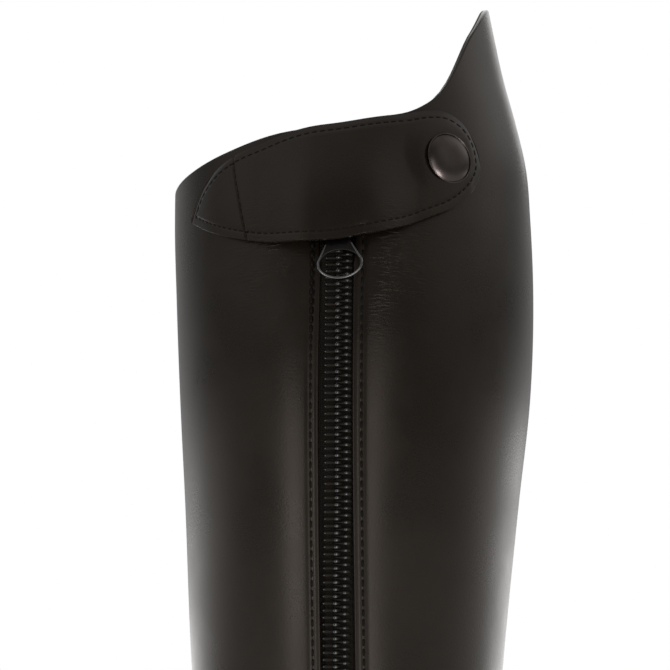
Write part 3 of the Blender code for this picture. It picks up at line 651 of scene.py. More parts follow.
coil = {
    "pitch": 2.2, "from": 88.0, "to": 428.0, "samples": 400, "limbSides": 6, "crownSides": 8,
    # height, and how far the coil lies to the outer side of the slot's middle
    "shift": [(80, 0.0), (180, -0.1), (250, -0.35), (285, -0.42), (298, -0.25), (310, 0.1), (323, 0.5),
              (336, 0.75), (349, 0.85), (380, 0.8), (430, 0.75)],
    # a limb from the tape's edge to its head: across, out, half thickness along the zip, half thickness out
    "left": [(-4.05, -2.45, 0.34, 0.34), (-4.15, -1.75, 0.46, 0.44), (-3.85, -0.98, 0.57, 0.53),
             (-3.10, -0.70, 0.60, 0.54), (-1.50, -1.00, 0.46, 0.44), (0.00, -0.42, 0.62, 0.56),
             (0.75, -0.85, 0.52, 0.48), (1.00, -1.90, 0.34, 0.34)],
    "right": [(4.05, -2.45, 0.34, 0.34), (4.15, -1.75, 0.46, 0.44), (3.80, -0.96, 0.57, 0.53),
              (3.05, -0.64, 0.62, 0.56), (1.40, -1.08, 0.44, 0.42), (-0.30, -1.38, 0.40, 0.38),
              (-0.80, -1.85, 0.34, 0.34)],
    # crowns: across, out, half sizes across, along and out, share of a pitch along the zip
    "crowns": [(-3.95, -0.58, 0.34, 0.28, 0.20, 0.0), (-0.25, 0.0, 0.74, 0.54, 0.26, 0.0),
               (2.70, -0.2, 0.64, 0.48, 0.26, -0.5)],
    "crownLean": 0.14, "pole": 0.01,
    "crownRings": [(0.0, -0.8), (0.7, -0.6), (1.0, 0.0), (0.88, 0.475), (0.65, 0.76), (0.35, 0.937),
                   (0.0, 1.0)],
}


def limbTube(rows):  # elliptical tube along one limb, x across, y along the zip, z out
    limb = np.array(rows)
    heading = unit(np.gradient(limb[:, :2], axis=0))
    along = np.zeros((len(limb), 3)) + (0.0, 1.0, 0.0)
    square = np.stack([heading[:, 1], np.zeros(len(limb)), -heading[:, 0]], axis=-1)
    path = np.stack([limb[:, 0], np.zeros(len(limb)), limb[:, 1]], axis=-1)
    return tubeGrid(path, square, along, limb[:, 3], limb[:, 2], coil["limbSides"])


def coilHeights():  # a height for every pitch of the zip
    heights = np.linspace(coil["from"], coil["to"], coil["samples"])
    line, _, _ = zipPlace(heights, np.zeros_like(heights), np.zeros_like(heights))
    return np.interp(evenPlaces(line, coil["pitch"]), np.arange(len(heights)), heights)


def alongZip(at, local):  # one small shape (x across, y along, z out) carried to each height
    centre, up, outward = zipPlace(at, curveThrough(coil["shift"], at), np.zeros_like(at))
    aside = centre[:, None] + local[:, 0, None] * acrossZip
    return aside + local[:, 1, None] * up[:, None] + local[:, 2, None] * outward[:, None]


def coilLoops():  # each limb at every pitch, the right one half a pitch on
    at = coilHeights()
    parts = []
    for side, shift in (("left", 0.0), ("right", -0.5 * coil["pitch"])):
        tube = limbTube(coil[side])
        loops = alongZip(at + shift, tube.reshape(-1, 3))
        parts.append((loops, *tubeFaces(*tube.shape[:2], copies=len(at))))
    return joinParts(parts)


# flat domes: rings of a share of the half sizes across and along, each at its own share of the height
def coilCrowns():
    rings = np.array(coil["crownRings"])
    turn = np.arange(coil["crownSides"]) * 2 * np.pi / coil["crownSides"]
    radius = np.maximum(rings[:, :1], coil["pole"])
    dome = np.stack([radius * np.cos(turn), radius * np.sin(turn), rings[:, 1:] + 0 * turn], axis=-1)
    dome = dome.reshape(-1, 3)
    at = coilHeights()
    parts = []
    for across, out, halfX, halfY, halfZ, shift in coil["crowns"]:
        local = dome * (halfX, halfY, halfZ)
        local[:, 2] -= coil["crownLean"] * local[:, 0]
        local = local + (across, 0.0, out)
        crowns = alongZip(at + shift * coil["pitch"], local)
        parts.append((crowns, *tubeFaces(len(rings), coil["crownSides"], copies=len(at))))
    return joinParts(parts)


points, faces = coilLoops()
addPiece("zip_coil", points, faces, coilBlack, stands=["zip_chain"], sharp=70.0)
points, faces = coilCrowns()
addPiece("zip_coil_crowns", points, faces, coilHeads, sharp=80.0)
for node, material in (("zip_tape_outer", tape), ("zip_tape_inner", tape), ("zip_slider", gunmetal)):
    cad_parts[node].data.materials.clear()
    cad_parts[node].data.materials.append(material)


# the flap
flap = {
    "edges": [(-56.3, 426.4, 428.0), (-52, 424.5, 434.6), (-46, 421.9, 440.2), (-36, 418.4, 446.8),
              (-20, 414.8, 455.0), (0, 413.6, 460.0), (20, 419.4, 460.5), (32, 424.8, 460.5),
              (50, 431.5, 460.5)],  # angle, lower edge, upper edge
    "end": 48.8, "roundFrom": 33.0, "endShare": 0.999, "middle": 443.0, "flatAt": 440.0, "cornerRound": 2.5,
    "drop": 0.4, "dropLeft": 2.4, "dropFrom": (-27.0, -4.0),  # how far it stays under the top line
    "thick": 2.0, "endThick": 0.8, "thinEnds": (-56.3, -38.0, 43.0, 48.8),
    "gap": 0.3, "room": 4.4, "level": 7.0, "rampEnd": 26.0,  # raised by its room over the slider
    "sliderTop": 424.0, "settled": 458.0, "settling": 0.7,
    "columns": 300, "roundColumns": 26, "rows": 52, "rowEase": 0.8,
    "edgeRound": 0.2, "edgeFall": 0.04, "underRound": 0.4, "topRound": 4.2, "topFall": 0.9,
    "stitchIn": 2.7, "dip": 0.16, "dipWidth": 0.45, "pillow": 0.35, "pillowTo": 9.0,
    # the cross seam: its angle at a low height and a rise above it, its step, and the stitches beside it
    "seamTop": -36.0, "seamLow": -29.5, "seamFoot": 417.0, "seamTall": 30.0, "seamMiddle": -33.0,
    "seamStep": 0.1, "seamWidth": 0.5, "seamDip": 0.65, "seamDipWidth": 0.36, "seamBeside": 0.6,
}
snap = {
    "angle": 35.2, "height": 443.4, "radius": 8.5, "turnOut": 4.5, "lean": 0.09,
    "flat": 8.6, "flatEnd": 16.0, "press": 0.5,  # the flap is flattened inside one radius, eased to the next
    "dome": 1.5, "power": 3.4, "edge": 0.1, "inner": 0.935, "rise": 0.4,
    "rings": 24, "crowding": 1.5, "turns": 72, "pole": 1e-4,
    # share of the radius, and height
    "rim": [(0.942, 0.23), (0.951, 0.35), (0.964, 0.40), (0.978, 0.36), (0.991, 0.24), (1.0, 0.06),
            (0.996, -0.12)],
    "under": [(0.97, -0.2), (0.8, -0.2), (0.4, -0.2), (0.0, -0.2)],
}


def flapWidth(z):  # the shaft's outer half width
    return curveThrough(last["shaft"], z, 1)


def flapLift(angle, z):  # close at both ends, raised over the slider, settling towards the rim
    reach = np.abs(np.radians(angle)) * flapWidth(z)
    over = 1 - smoothStep(reach, flap["level"], flap["rampEnd"])
    settled = flap["settling"] * smoothStep(z, flap["sliderTop"], flap["settled"])
    return flap["gap"] + flap["room"] * over * (1 - settled)


def flapEdges(angle):  # table of edges, kept under the top line; the outer end closes as an ellipse
    toEnd = (angle - flap["roundFrom"]) / (flap["end"] - flap["roundFrom"])
    toEnd = np.clip(toEnd, 0.0, flap["endShare"])
    full = np.sqrt(1 - toEnd ** 2)
    low = curveThrough(flap["edges"], angle)
    drop = lerp(flap["dropLeft"], flap["drop"], smoothStep(angle, *flap["dropFrom"]))
    high, top = curveThrough(flap["edges"], angle, 2), topHeight(angle) - drop
    high = (high + top - np.hypot(high - top, flap["cornerRound"])) / 2
    return lerp(flap["middle"], low, full), lerp(flap["middle"], high, full)


def flapAngles():  # even steps, then a sine's steps round the outer end
    straight = np.linspace(flap["edges"][0][0], flap["roundFrom"], flap["columns"])
    turn = np.radians(np.linspace(0.0, 90.0, flap["roundColumns"]))[1:]
    return np.concatenate([straight, lerp(flap["roundFrom"], flap["end"], np.sin(turn))])


meanWidth = float(flapWidth(np.array(flap["flatAt"])))


def flapOutline():  # the edge laid flat, mm: across from the zip, height
    angle = flapAngles()
    low, high = flapEdges(angle)
    across = np.radians(angle) * meanWidth
    return np.concatenate([np.stack([across, low], axis=-1), np.stack([across, high], axis=-1)[::-1]])


def edgeDistance(flatPoints, outline):  # shortest distance from each point to the closed outline
    start, run = outline, np.roll(outline, -1, axis=0) - outline
    away = flatPoints[:, None] - start[None]
    length = np.maximum((run ** 2).sum(-1), 1e-9)
    share = np.clip((away * run).sum(-1) / length, 0.0, 1.0)
    return np.linalg.norm(away - share[..., None] * run, axis=-1).min(axis=1)


snapLift = flapLift(snap["angle"], np.array(snap["height"])) + flap["thick"]
snapCentre = skinPoint(np.radians(snap["angle"]), np.array(snap["height"]), snapLift)
snapSquare = shaftNormal(np.array(np.radians(snap["angle"])), np.array(snap["height"]))


def snapAxis():  # square to the shaft, then turned outwards and leant down
    cosine, sine = math.cos(math.radians(snap["turnOut"])), math.sin(math.radians(snap["turnOut"]))
    x, y, z = snapSquare
    return unit(np.array((x * cosine - y * sine, x * sine + y * cosine, z - snap["lean"])))


snapOut = snapAxis()


def flattened(points):  # raised part of the way to the cap's plane where it lies below it
    away = points - snapCentre
    height = away @ snapOut
    radius = np.linalg.norm(away - height[..., None] * snapOut, axis=-1)
    share = snap["press"] * (1 - smoothStep(radius, snap["flat"], snap["flatEnd"]))
    return points + (share * np.maximum(-height, 0.0))[..., None] * snapOut


def seamAngle(z):  # the cross seam leans evenly with the height
    return lerp(flap["seamLow"], flap["seamTop"], (z - flap["seamFoot"]) / flap["seamTall"])


# rounded edge or softer top, whichever falls more, less the stitch channel, the pillow and the cross seam
def flapRelief(angle, z, toEdge):
    pastSeam = np.radians(angle - seamAngle(z)) * meanWidth
    toTop = np.maximum(flapEdges(angle)[1] - z, 0.0)
    relief = -np.maximum(edgeRoll(toEdge, flap["edgeRound"]) * flap["edgeFall"] / flap["edgeRound"],
                         flap["topFall"] * np.clip(1 - toTop / flap["topRound"], 0.0, 1.0) ** 2)
    relief = relief - flap["dip"] * bell(toEdge, flap["stitchIn"], flap["dipWidth"])
    relief = relief - flap["pillow"] * (1 - smoothStep(toEdge, -flap["pillowTo"] / 2, flap["pillowTo"]))
    relief = relief - flap["seamStep"] * (1 - smoothStep(pastSeam, -flap["seamWidth"], flap["seamWidth"]))
    return relief - flap["seamDip"] * bell(pastSeam, flap["seamBeside"], flap["seamDipWidth"])


def flapThick(angle):  # skived towards both ends
    first, leftFrom, rightFrom, end = flap["thinEnds"]
    full = smoothStep(angle, first, leftFrom) * (1 - smoothStep(angle, rightFrom, end))
    return lerp(flap["endThick"], flap["thick"], full)


def flapTop(angle, z, toEdge):  # out from the shaft by lift, thickness and relief
    theta = np.radians(angle)
    return skinPoint(theta, z, flapLift(angle, z) + flapThick(angle) + flapRelief(angle, z, toEdge))


# columns by angle, rows from the lower to the upper edge, closer at both; the underside has the lift alone
def flapSheets():
    angle = flapAngles()[None, :]
    low, high = flapEdges(angle)
    rise = (1 - np.cos(np.linspace(0.0, np.pi, flap["rows"]))) / 2
    z = lerp(low, high, lerp(np.linspace(0.0, 1.0, flap["rows"]), rise, flap["rowEase"])[:, None])
    angle = np.broadcast_to(angle, z.shape)
    flat = np.stack([np.radians(angle) * meanWidth, z], axis=-1)
    toEdge = edgeDistance(flat.reshape(-1, 2), flapOutline()).reshape(z.shape)
    top = flattened(flapTop(angle, z, toEdge))
    under = skinPoint(np.radians(angle), z, flapLift(angle, z) + edgeRoll(toEdge, flap["underRound"]))
    return closeSheets(top, under, gridFaces(*z.shape))


points, faces = flapSheets()
addPiece("flap_leather", points, faces, leather, stands=["zip_flap"], sharp=60.0)


# turned round the snap's axis: height falls with a power of the radius, then a rolled rim and a flat back
def turnedSnap():
    share = 1 - (1 - np.linspace(0.0, 1.0, snap["rings"])) ** snap["crowding"]
    height = snap["edge"] + snap["dome"] * (1 - share ** snap["power"])
    profile = np.concatenate([np.stack([share * snap["inner"], height], axis=-1), snap["rim"], snap["under"]])
    turn = np.arange(snap["turns"]) * 2 * np.pi / snap["turns"]
    side = unit(np.cross((0.0, 0.0, 1.0), snapOut))
    up = np.cross(snapOut, side)
    ring = np.cos(turn)[:, None] * side + np.sin(turn)[:, None] * up
    radius = np.maximum(profile[:, 0], snap["pole"]) * snap["radius"]
    height = profile[:, 1] + snap["rise"]
    points = snapCentre + radius[:, None, None] * ring + height[:, None, None] * snapOut
    return points, gridFaces(len(profile), snap["turns"], wrap=True)[..., ::-1].reshape(-1, 4)


points, faces = turnedSnap()
addPiece("snap_dome", points, faces, snapMetal, stands=["snap_cap"], sharp=80.0, weld=0.02)


# the pull
pull = {
    "hinge": 418.2, "drop": 3.2, "out": 2.1, "shift": 0.25, "turn": 5.2,
    "ringAt": 11.8, "ringX": 7.4, "ringY": 5.35, "holeX": 6.4, "holeY": 4.5,
    "neckHalf": 4.5, "plateFrom": 2.3, "shoulder": 4.6, "joinAngle": 14.0, "kneeOut": 0.9, "kneeDrop": 2.6,
    "bar": 0.5, "wire": 0.42, "windowHalf": 2.0, "postLap": 0.4,
    "thick": 0.28, "bevel": 0.25, "bevelClear": 0.02,
    "columns": 120, "sides": 12, "barSteps": 6, "wireSteps": 130, "ovalSteps": 60, "sideSteps": 30,
    "topSteps": 12, "bevelSteps": 5,
}


def pullPlace(local):  # local x across, y up the pull, z out, turned a little about its own face
    height = np.array(pull["hinge"] + pull["drop"])
    foot, up, outward = zipPlace(height, np.array(pull["shift"]), np.array(pull["out"]))
    turn = math.radians(pull["turn"])
    sideways = math.cos(turn) * acrossZip + math.sin(turn) * up
    upward = math.cos(turn) * up - math.sin(turn) * acrossZip
    inFace = foot - pull["drop"] * up + local[..., 0, None] * sideways + local[..., 1, None] * upward
    return inFace + local[..., 2, None] * outward


def roundBar(path, square, wide, thick):  # oval tube along a path that lies in the pull's face
    tube = tubeGrid(path, square, np.zeros_like(path) + (0.0, 0.0, 1.0), wide, thick, pull["sides"])
    return tube, *tubeFaces(*tube.shape[:2])


def barTube(start, end, wide):  # straight bar with an oval section and flat ends
    path = lerp(np.array(start), np.array(end), np.linspace(0.0, 1.0, pull["barSteps"])[:, None])
    run = unit(path[1] - path[0])
    square = np.zeros_like(path) + (-run[1], run[0], 0.0)
    return roundBar(path, square, np.full(len(path), wide), np.full(len(path), pull["wire"]))


# outer edge about the hole's middle: the ring's oval, a square curve by the knee up to the neck, a level top
def pullOutline(turn):
    join = math.radians(pull["joinAngle"])
    shoulder, top = pull["ringAt"] - pull["shoulder"], pull["ringAt"] - pull["plateFrom"]
    foot = np.array((pull["ringX"] * math.cos(join), pull["ringY"] * math.sin(join)))
    knee = np.array((pull["neckHalf"] + pull["kneeOut"], shoulder - pull["kneeDrop"]))
    neck = np.array((pull["neckHalf"], shoulder))
    t = np.linspace(0.0, 1.0, pull["sideSteps"])[:, None]
    side = (1 - t) ** 2 * foot + 2 * t * (1 - t) * knee + t ** 2 * neck
    lower = np.linspace(-np.pi / 2, join, pull["ovalSteps"])[:-1]
    oval = np.stack([pull["ringX"] * np.cos(lower), pull["ringY"] * np.sin(lower)], axis=-1)
    across = np.linspace(pull["neckHalf"], 0.0, pull["topSteps"])[:, None]
    edge = np.concatenate([oval, side, np.concatenate([across, 0 * across + top], axis=1)])
    half = np.arctan2(np.sin(turn), np.abs(np.cos(turn)))
    angle = np.arctan2(edge[:, 1], edge[:, 0])
    reach = np.interp(half, angle, np.linalg.norm(edge, axis=1))
    return np.stack([reach * np.cos(turn), reach * np.sin(turn)], axis=-1)


def edgeWire():  # round wire just inside the pull's edge, from one corner of the neck round the ring
    corner = math.atan2(pull["ringAt"] - pull["plateFrom"], pull["neckHalf"])
    edge = pullOutline(np.linspace(corner, -math.pi - corner, pull["wireSteps"]))
    run = unit(np.gradient(edge, axis=0))
    inward = np.stack([run[:, 1], -run[:, 0]], axis=-1)
    reach, top = pull["neckHalf"] - pull["wire"], pull["ringAt"]
    path = np.concatenate([[(reach, top)], edge + inward * pull["wire"], [(-reach, top)]])
    run = unit(np.gradient(path, axis=0))
    flat = np.zeros((len(path), 1))
    square = np.concatenate([-run[:, 1:], run[:, :1], flat], axis=1)
    path = np.concatenate([path - (0.0, top), flat], axis=1)
    wide = np.full(len(path), pull["wire"])
    return roundBar(path, square, wide, wide)


def pullPlate():  # a ring of sections between the hole and the edge
    turn = np.arange(pull["columns"]) * 2 * np.pi / pull["columns"]
    hole = 1 / np.hypot(np.cos(turn) / pull["holeX"], np.sin(turn) / pull["holeY"])
    inner = hole[:, None] * np.stack([np.cos(turn), np.sin(turn)], axis=-1)
    outer = pullOutline(turn)
    width = np.linalg.norm(outer - inner, axis=1)
    bevel = np.minimum(pull["bevel"], width / 2 - pull["bevelClear"])
    # section from the hole over the face to the edge, and back underneath
    arc = np.radians(np.linspace(0.0, 90.0, pull["bevelSteps"]))
    falls = [(bevel * (1 - math.cos(a)) / width, math.sin(a)) for a in arc]
    section = falls + [(1 - share, rise) for share, rise in falls[::-1]]
    section += [(1 - share, -rise) for share, rise in falls[1:]]
    section += [(share, -rise) for share, rise in falls[:0:-1]]
    loops = []
    for share, rise in section:
        level = np.full((len(turn), 1), rise * pull["thick"])
        loops.append(np.concatenate([lerp(inner, outer, share[:, None]), level], axis=1))
    plate = np.array(loops) - (0.0, pull["ringAt"], 0.0)
    around = gridFaces(len(loops) + 1, len(turn), wrap=True).reshape(-1, 4) % (len(loops) * len(turn))
    return pullPlace(plate), around[:, ::-1]


def pullFrame():  # the edge wire, the two posts beside the window, and the bar
    post = (pull["windowHalf"] + pull["neckHalf"]) / 2
    parts = [edgeWire(), barTube((-pull["neckHalf"], 0.0, 0.0), (pull["neckHalf"], 0.0, 0.0), pull["bar"])]
    low = -pull["plateFrom"] - pull["postLap"]
    for side in (post, -post):
        parts.append(barTube((side, low, 0.0), (side, 0.0, 0.0), pull["neckHalf"] - post))
    return joinParts([(pullPlace(tube), *faceArrays) for tube, *faceArrays in parts])


points, faces = pullFrame()
addPiece("pull_tab", points, faces, gunmetal, body="pull", stands=["zip_pull"], sharp=50.0)
# the plate's dark colour is painted shade for the reflection on its face
points, faces = pullPlate()
addPiece("pull_plate", points, faces, plateShadeMetal, body="pull", sharp=50.0)


# stitches
stitch = {
    "rings": [(-1.0, 0.4), (-0.62, 1.0), (0.62, 1.0), (1.0, 0.4)],  # place along, and width
    "sides": 6, "fill": 0.8, "flat": 0.8, "sag": 0.16, "rise": 0.03, "samples": 300,
    "zipPitch": 3.1, "zipWide": 0.5, "zipFrom": 92.0, "zipTo": 446.0,
    "flapPitch": 2.6, "flapWide": 0.34, "edgeStep": 0.4, "edgeSlack": 0.06, "seamClear": 0.8, "seamSteps": 60,
    "weltPitch": 3.6, "weltWide": 0.5, "weltShare": 0.55, "weltFrom": 22.0,
}


# capsules along a path: each is a short run of rings, level in the middle and sinking at both ends
def stitchRun(path, normals, pitch, wide):
    places = evenPlaces(path, pitch)
    at, out = readPath(path, places), unit(readPath(normals, places))
    run = unit(readPath(np.gradient(path, axis=0), places))
    side = unit(np.cross(out, run))
    rings = np.array(stitch["rings"])
    turn = np.arange(stitch["sides"]) * 2 * np.pi / stitch["sides"]
    along = np.repeat(rings[:, 0], stitch["sides"]) * pitch * stitch["fill"] / 2
    across = (rings[:, 1, None] * np.cos(turn) * wide).ravel()
    up = rings[:, 1, None] * np.sin(turn) * wide * stitch["flat"] - stitch["sag"] * rings[:, :1] ** 2
    up = up.ravel() + stitch["rise"]
    points = at[:, None] + along[:, None] * run[:, None]
    points = points + across[:, None] * side[:, None] + up[:, None] * out[:, None]
    return points, *tubeFaces(len(rings), stitch["sides"], copies=len(at))


def zipStitches():  # a row each side of the slot, in its own dip
    runs = []
    heights = np.linspace(stitch["zipFrom"], stitch["zipTo"], stitch["samples"])
    for side, away in zip((1.0, -1.0), upper["stitchRows"]):
        theta = side * angleBeside(shaftPoint, heights, side, lambda points: upper["slotHalf"] + away)
        path = skinPoint(theta, heights, np.full_like(heights, -foldFall(away) - upper["stitchDip"]))
        runs.append(stitchRun(path, shaftNormal(theta, heights), stitch["zipPitch"], stitch["zipWide"]))
    return runs


def flapPath(flatPath):  # a path drawn on the flap laid flat, put on the flap's top
    angle, z = np.degrees(flatPath[:, 0] / meanWidth), flatPath[:, 1]
    toEdge = edgeDistance(flatPath, flapOutline())
    top = flattened(flapTop(angle, z, toEdge))
    return top, shaftNormal(np.radians(angle), z)


def flapStitches():  # inside the edge all round, and down the cross seam
    outline = flapOutline()
    level = np.concatenate([outline, 0 * outline[:, :1]], axis=1)
    even = readPath(level, evenPlaces(outline, stitch["edgeStep"]))[:, :2]
    run = unit(np.roll(even, -2, axis=0) - np.roll(even, 2, axis=0))
    inside = even + flap["stitchIn"] * np.stack([-run[:, 1], run[:, 0]], axis=-1)
    inside = inside[edgeDistance(inside, outline) > flap["stitchIn"] - stitch["edgeSlack"]]
    gap = np.linalg.norm(np.roll(inside, -1, axis=0) - inside, axis=-1)
    inside = np.roll(inside, -int(np.argmax(gap)) - 1, axis=0)
    z = np.linspace(*flapEdges(np.array(flap["seamMiddle"])), stitch["seamSteps"])
    angle = seamAngle(z)
    cross = np.stack([np.radians(angle) * meanWidth + flap["seamBeside"], z], axis=-1)
    cross = cross[edgeDistance(cross, outline) > flap["stitchIn"] + stitch["seamClear"]]
    low, high = flapEdges(angle.mean())
    cross = cross[(cross[:, 1] > low) & (cross[:, 1] < high)]
    return [stitchRun(*flapPath(row), stitch["flapPitch"], stitch["flapWide"]) for row in (inside, cross)]


points, faces = joinParts(zipStitches())
addPiece("zip_stitches", points, faces, thread, sharp=80.0)
points, faces = joinParts(flapStitches())
addPiece("flap_stitches", points, faces, thread, sharp=80.0)


# the sole
sole = {
    "outsole": 5.0, "welt": 3.0, "gap": 0.3, "columns": 260, "round": 0.7, "roundSteps": 5,
    "marginFore": 4.5, "marginHeel": 2.5, "marginFrom": 10.0, "marginTo": 110.0,
    "spine": 0.9, "fills": (0.0, 0.3, 0.6, 0.85),  # loops of a plate from its spine to its edge
    "insoleAbove": 1.5, "insoleEdge": -3.6, "insoleRound": 0.5,
    "weltInset": 0.6, "weltInner": -2.4, "weltRound": 0.6,
}


def soleMargin(y):  # how far the sole stands out: eased from the heel's margin to the forefoot's
    return lerp(sole["marginHeel"], sole["marginFore"], smoothStep(y, sole["marginFrom"], sole["marginTo"]))


def lowerEdge(theta):  # the upper's lowest ring
    return ringPoint(theta, *(np.full_like(theta, value) for value in upper["rings"][0]))


def setOut(edge, margin, closed=True):  # a level loop moved out square to its own run
    run = np.roll(edge, -1, axis=0) - np.roll(edge, 1, axis=0) if closed else np.gradient(edge, axis=0)
    out = unit(np.stack([run[:, 1], -run[:, 0]], axis=-1))
    moved = edge.copy()
    moved[:, :2] += out * np.reshape(margin, (-1, 1))
    return moved


soleEdge = lowerEdge(np.arange(sole["columns"]) * 2 * np.pi / sole["columns"])


def soleLoop(margin, height):  # the lower edge set out by a margin, at heights read from y
    loop = setOut(soleEdge, margin)
    loop[:, 2] = height(loop[:, 1])
    return loop


def weltTop(y):  # a gap under the upper's lower edge
    return featherAt(y) - sole["gap"]


def weltBottom(y):  # the welt's thickness lower
    return weltTop(y) - sole["welt"]


def outsoleTop(y):  # a gap under the welt
    return weltBottom(y) - sole["gap"]


def outsoleBottom(y):  # the outsole's thickness lower
    return outsoleTop(y) - sole["outsole"]


def insoleTop(y):  # a little above the upper's lower edge
    return featherAt(y) + sole["insoleAbove"]


def cornerSteps(corner):  # a quarter circle from face to edge, as distances in from the edge and the face
    turn = np.radians(np.linspace(90.0, 0.0, sole["roundSteps"]))
    return [(corner * (1 - math.cos(t)), corner * (1 - math.sin(t))) for t in turn]


# plate: loops from its spine out over a rounded edge and back underneath
def soleplate(margin, top, bottom, corner):
    along = lerp(soleEdge[:, 1].mean(), soleEdge[:, 1], sole["spine"])
    loops = []
    for sign, height in ((-1.0, top), (1.0, bottom)):
        rim = []
        for inset, fall in cornerSteps(corner):
            rim.append(soleLoop(margin - inset, lambda y: height(y) + sign * fall))
        spine = np.stack([curveThrough(last["foot"], along), along, height(along)], axis=-1)
        side = [lerp(spine, rim[0], share) for share in sole["fills"]] + rim
        loops += side if sign < 0 else side[::-1]
    points = np.array(loops)
    return points, gridFaces(*points.shape[:2], wrap=True)[..., ::-1].reshape(-1, 4)


points, faces = soleplate(soleMargin(soleEdge[:, 1]), outsoleTop, outsoleBottom, sole["round"])
addPiece("outsole_leather", points, faces, soleLeather, stands=["outsole"],
         sharp=60.0, weld=0.01)
insoleMargin = np.full(sole["columns"], sole["insoleEdge"])
points, faces = soleplate(insoleMargin, insoleTop, weltBottom, sole["insoleRound"])
addPiece("insole_leather", points, faces, lining, stands=["insole"],
         sharp=60.0, weld=0.01)


def weltRing():  # a rectangle with rounded outer corners, carried round the lower edge
    margin = soleMargin(soleEdge[:, 1]) - sole["weltInset"]
    inner = np.full(sole["columns"], sole["weltInner"])
    steps, top = cornerSteps(sole["weltRound"]), sole["welt"]
    section = [(inner, 0.0)] + [(margin - inset, fall) for inset, fall in steps]
    section += [(margin - inset, top - fall) for inset, fall in steps[::-1]] + [(inner, top)]
    loops = [soleLoop(away, lambda y: weltBottom(y) + level) for away, level in section]
    points = np.array(loops + loops[:1])
    return points, gridFaces(*points.shape[:2], wrap=True).reshape(-1, 4)


points, faces = weltRing()
addPiece("welt_strip", points, faces, weltLeather, stands=["welt"],
         sharp=60.0, weld=0.01)


def weltStitches():  # one row on the welt, from the waist round the toe
    row = soleLoop(soleMargin(soleEdge[:, 1]) * stitch["weltShare"], weltTop)
    row = np.roll(row, -int(np.argmin(row[:, 1])), axis=0)
    row = row[row[:, 1] > stitch["weltFrom"]]
    return stitchRun(row, np.zeros_like(row) + (0.0, 0.0, 1.0), stitch["weltPitch"], stitch["weltWide"])


points, faces = joinParts([weltStitches()])
addPiece("welt_stitches", points, faces, thread, sharp=80.0)


# the heel
heel = {
    "lift": 6.0, "lifts": 4, "taper": 2.0, "breastLean": 2.5, "breastHollow": 1.5,
    "columns": 72, "breastColumns": 20,
    "jointDip": 0.22, "jointHalf": 0.25, "edgeDip": 0.3,
    "rubberFoot": [(0.0, 0.6), (0.2, 0.25), (0.6, 0.0)],  # height and dip of the rubber's lower rings
    "rubberTop": 0.8,  # how far under its top the rubber starts to draw in
}


# the seat's loop tapering to the floor, closed by the breast, which is hollow as a sine
def heelLoop(height, seat, dip):
    backZ, frontZ, _ = upper["rings"][0]
    start, end = curveThrough(last["back"], backZ), curveThrough(last["front"], frontZ)
    reach = math.acos(1 - 2 * (last["breast"] - start) / (end - start))
    edge = lowerEdge(np.linspace(-reach, reach, heel["columns"]))
    share = 1 - height / seat
    loop = setOut(edge, np.full(len(edge), sole["marginHeel"] - heel["taper"] * share - dip), closed=False)
    loop[:, 1] = np.minimum(loop[:, 1], last["breast"] - heel["breastLean"] * share - dip)
    across = np.linspace(0.0, 1.0, heel["breastColumns"] + 2)[1:-1, None]
    breast = lerp(loop[-1], loop[0], across)
    breast[:, 1] -= heel["breastHollow"] * np.sin(across[:, 0] * np.pi)
    loop = np.concatenate([loop, breast])
    loop[:, 2] = height
    return loop


def heelPrism(levels, seat):  # loops at each height and dip, with a flat face at both ends
    loops = np.array([heelLoop(height, seat, dip) for height, dip in levels])
    count = loops.shape[1]
    ends = np.arange(count)
    faces = gridFaces(len(loops), count, wrap=True).reshape(-1, 4).tolist()
    return loops, faces + [ends[::-1].tolist(), (ends + (len(loops) - 1) * count).tolist()]


seat = float(outsoleBottom(np.array(0.0))) - sole["gap"]
layer = (seat - heel["lift"]) / heel["lifts"]
levels = [(heel["lift"], heel["edgeDip"])]
for number in range(heel["lifts"]):
    base, top = heel["lift"] + number * layer, heel["lift"] + (number + 1) * layer
    levels += [(base + heel["jointHalf"], 0.0), (top - heel["jointHalf"], 0.0), (top, heel["jointDip"])]
points, faces = heelPrism(levels, seat)
addPiece("heel_stack", points, faces, heelLeather, stands=["heel"], sharp=50.0)
levels = heel["rubberFoot"] + [(heel["lift"] - heel["rubberTop"], 0.0)]
levels += [(heel["lift"] - sole["gap"], heel["edgeDip"])]
points, faces = heelPrism(levels, seat)
addPiece("heel_rubber", points, faces, rubber, stands=["heel_lift"], sharp=50.0)


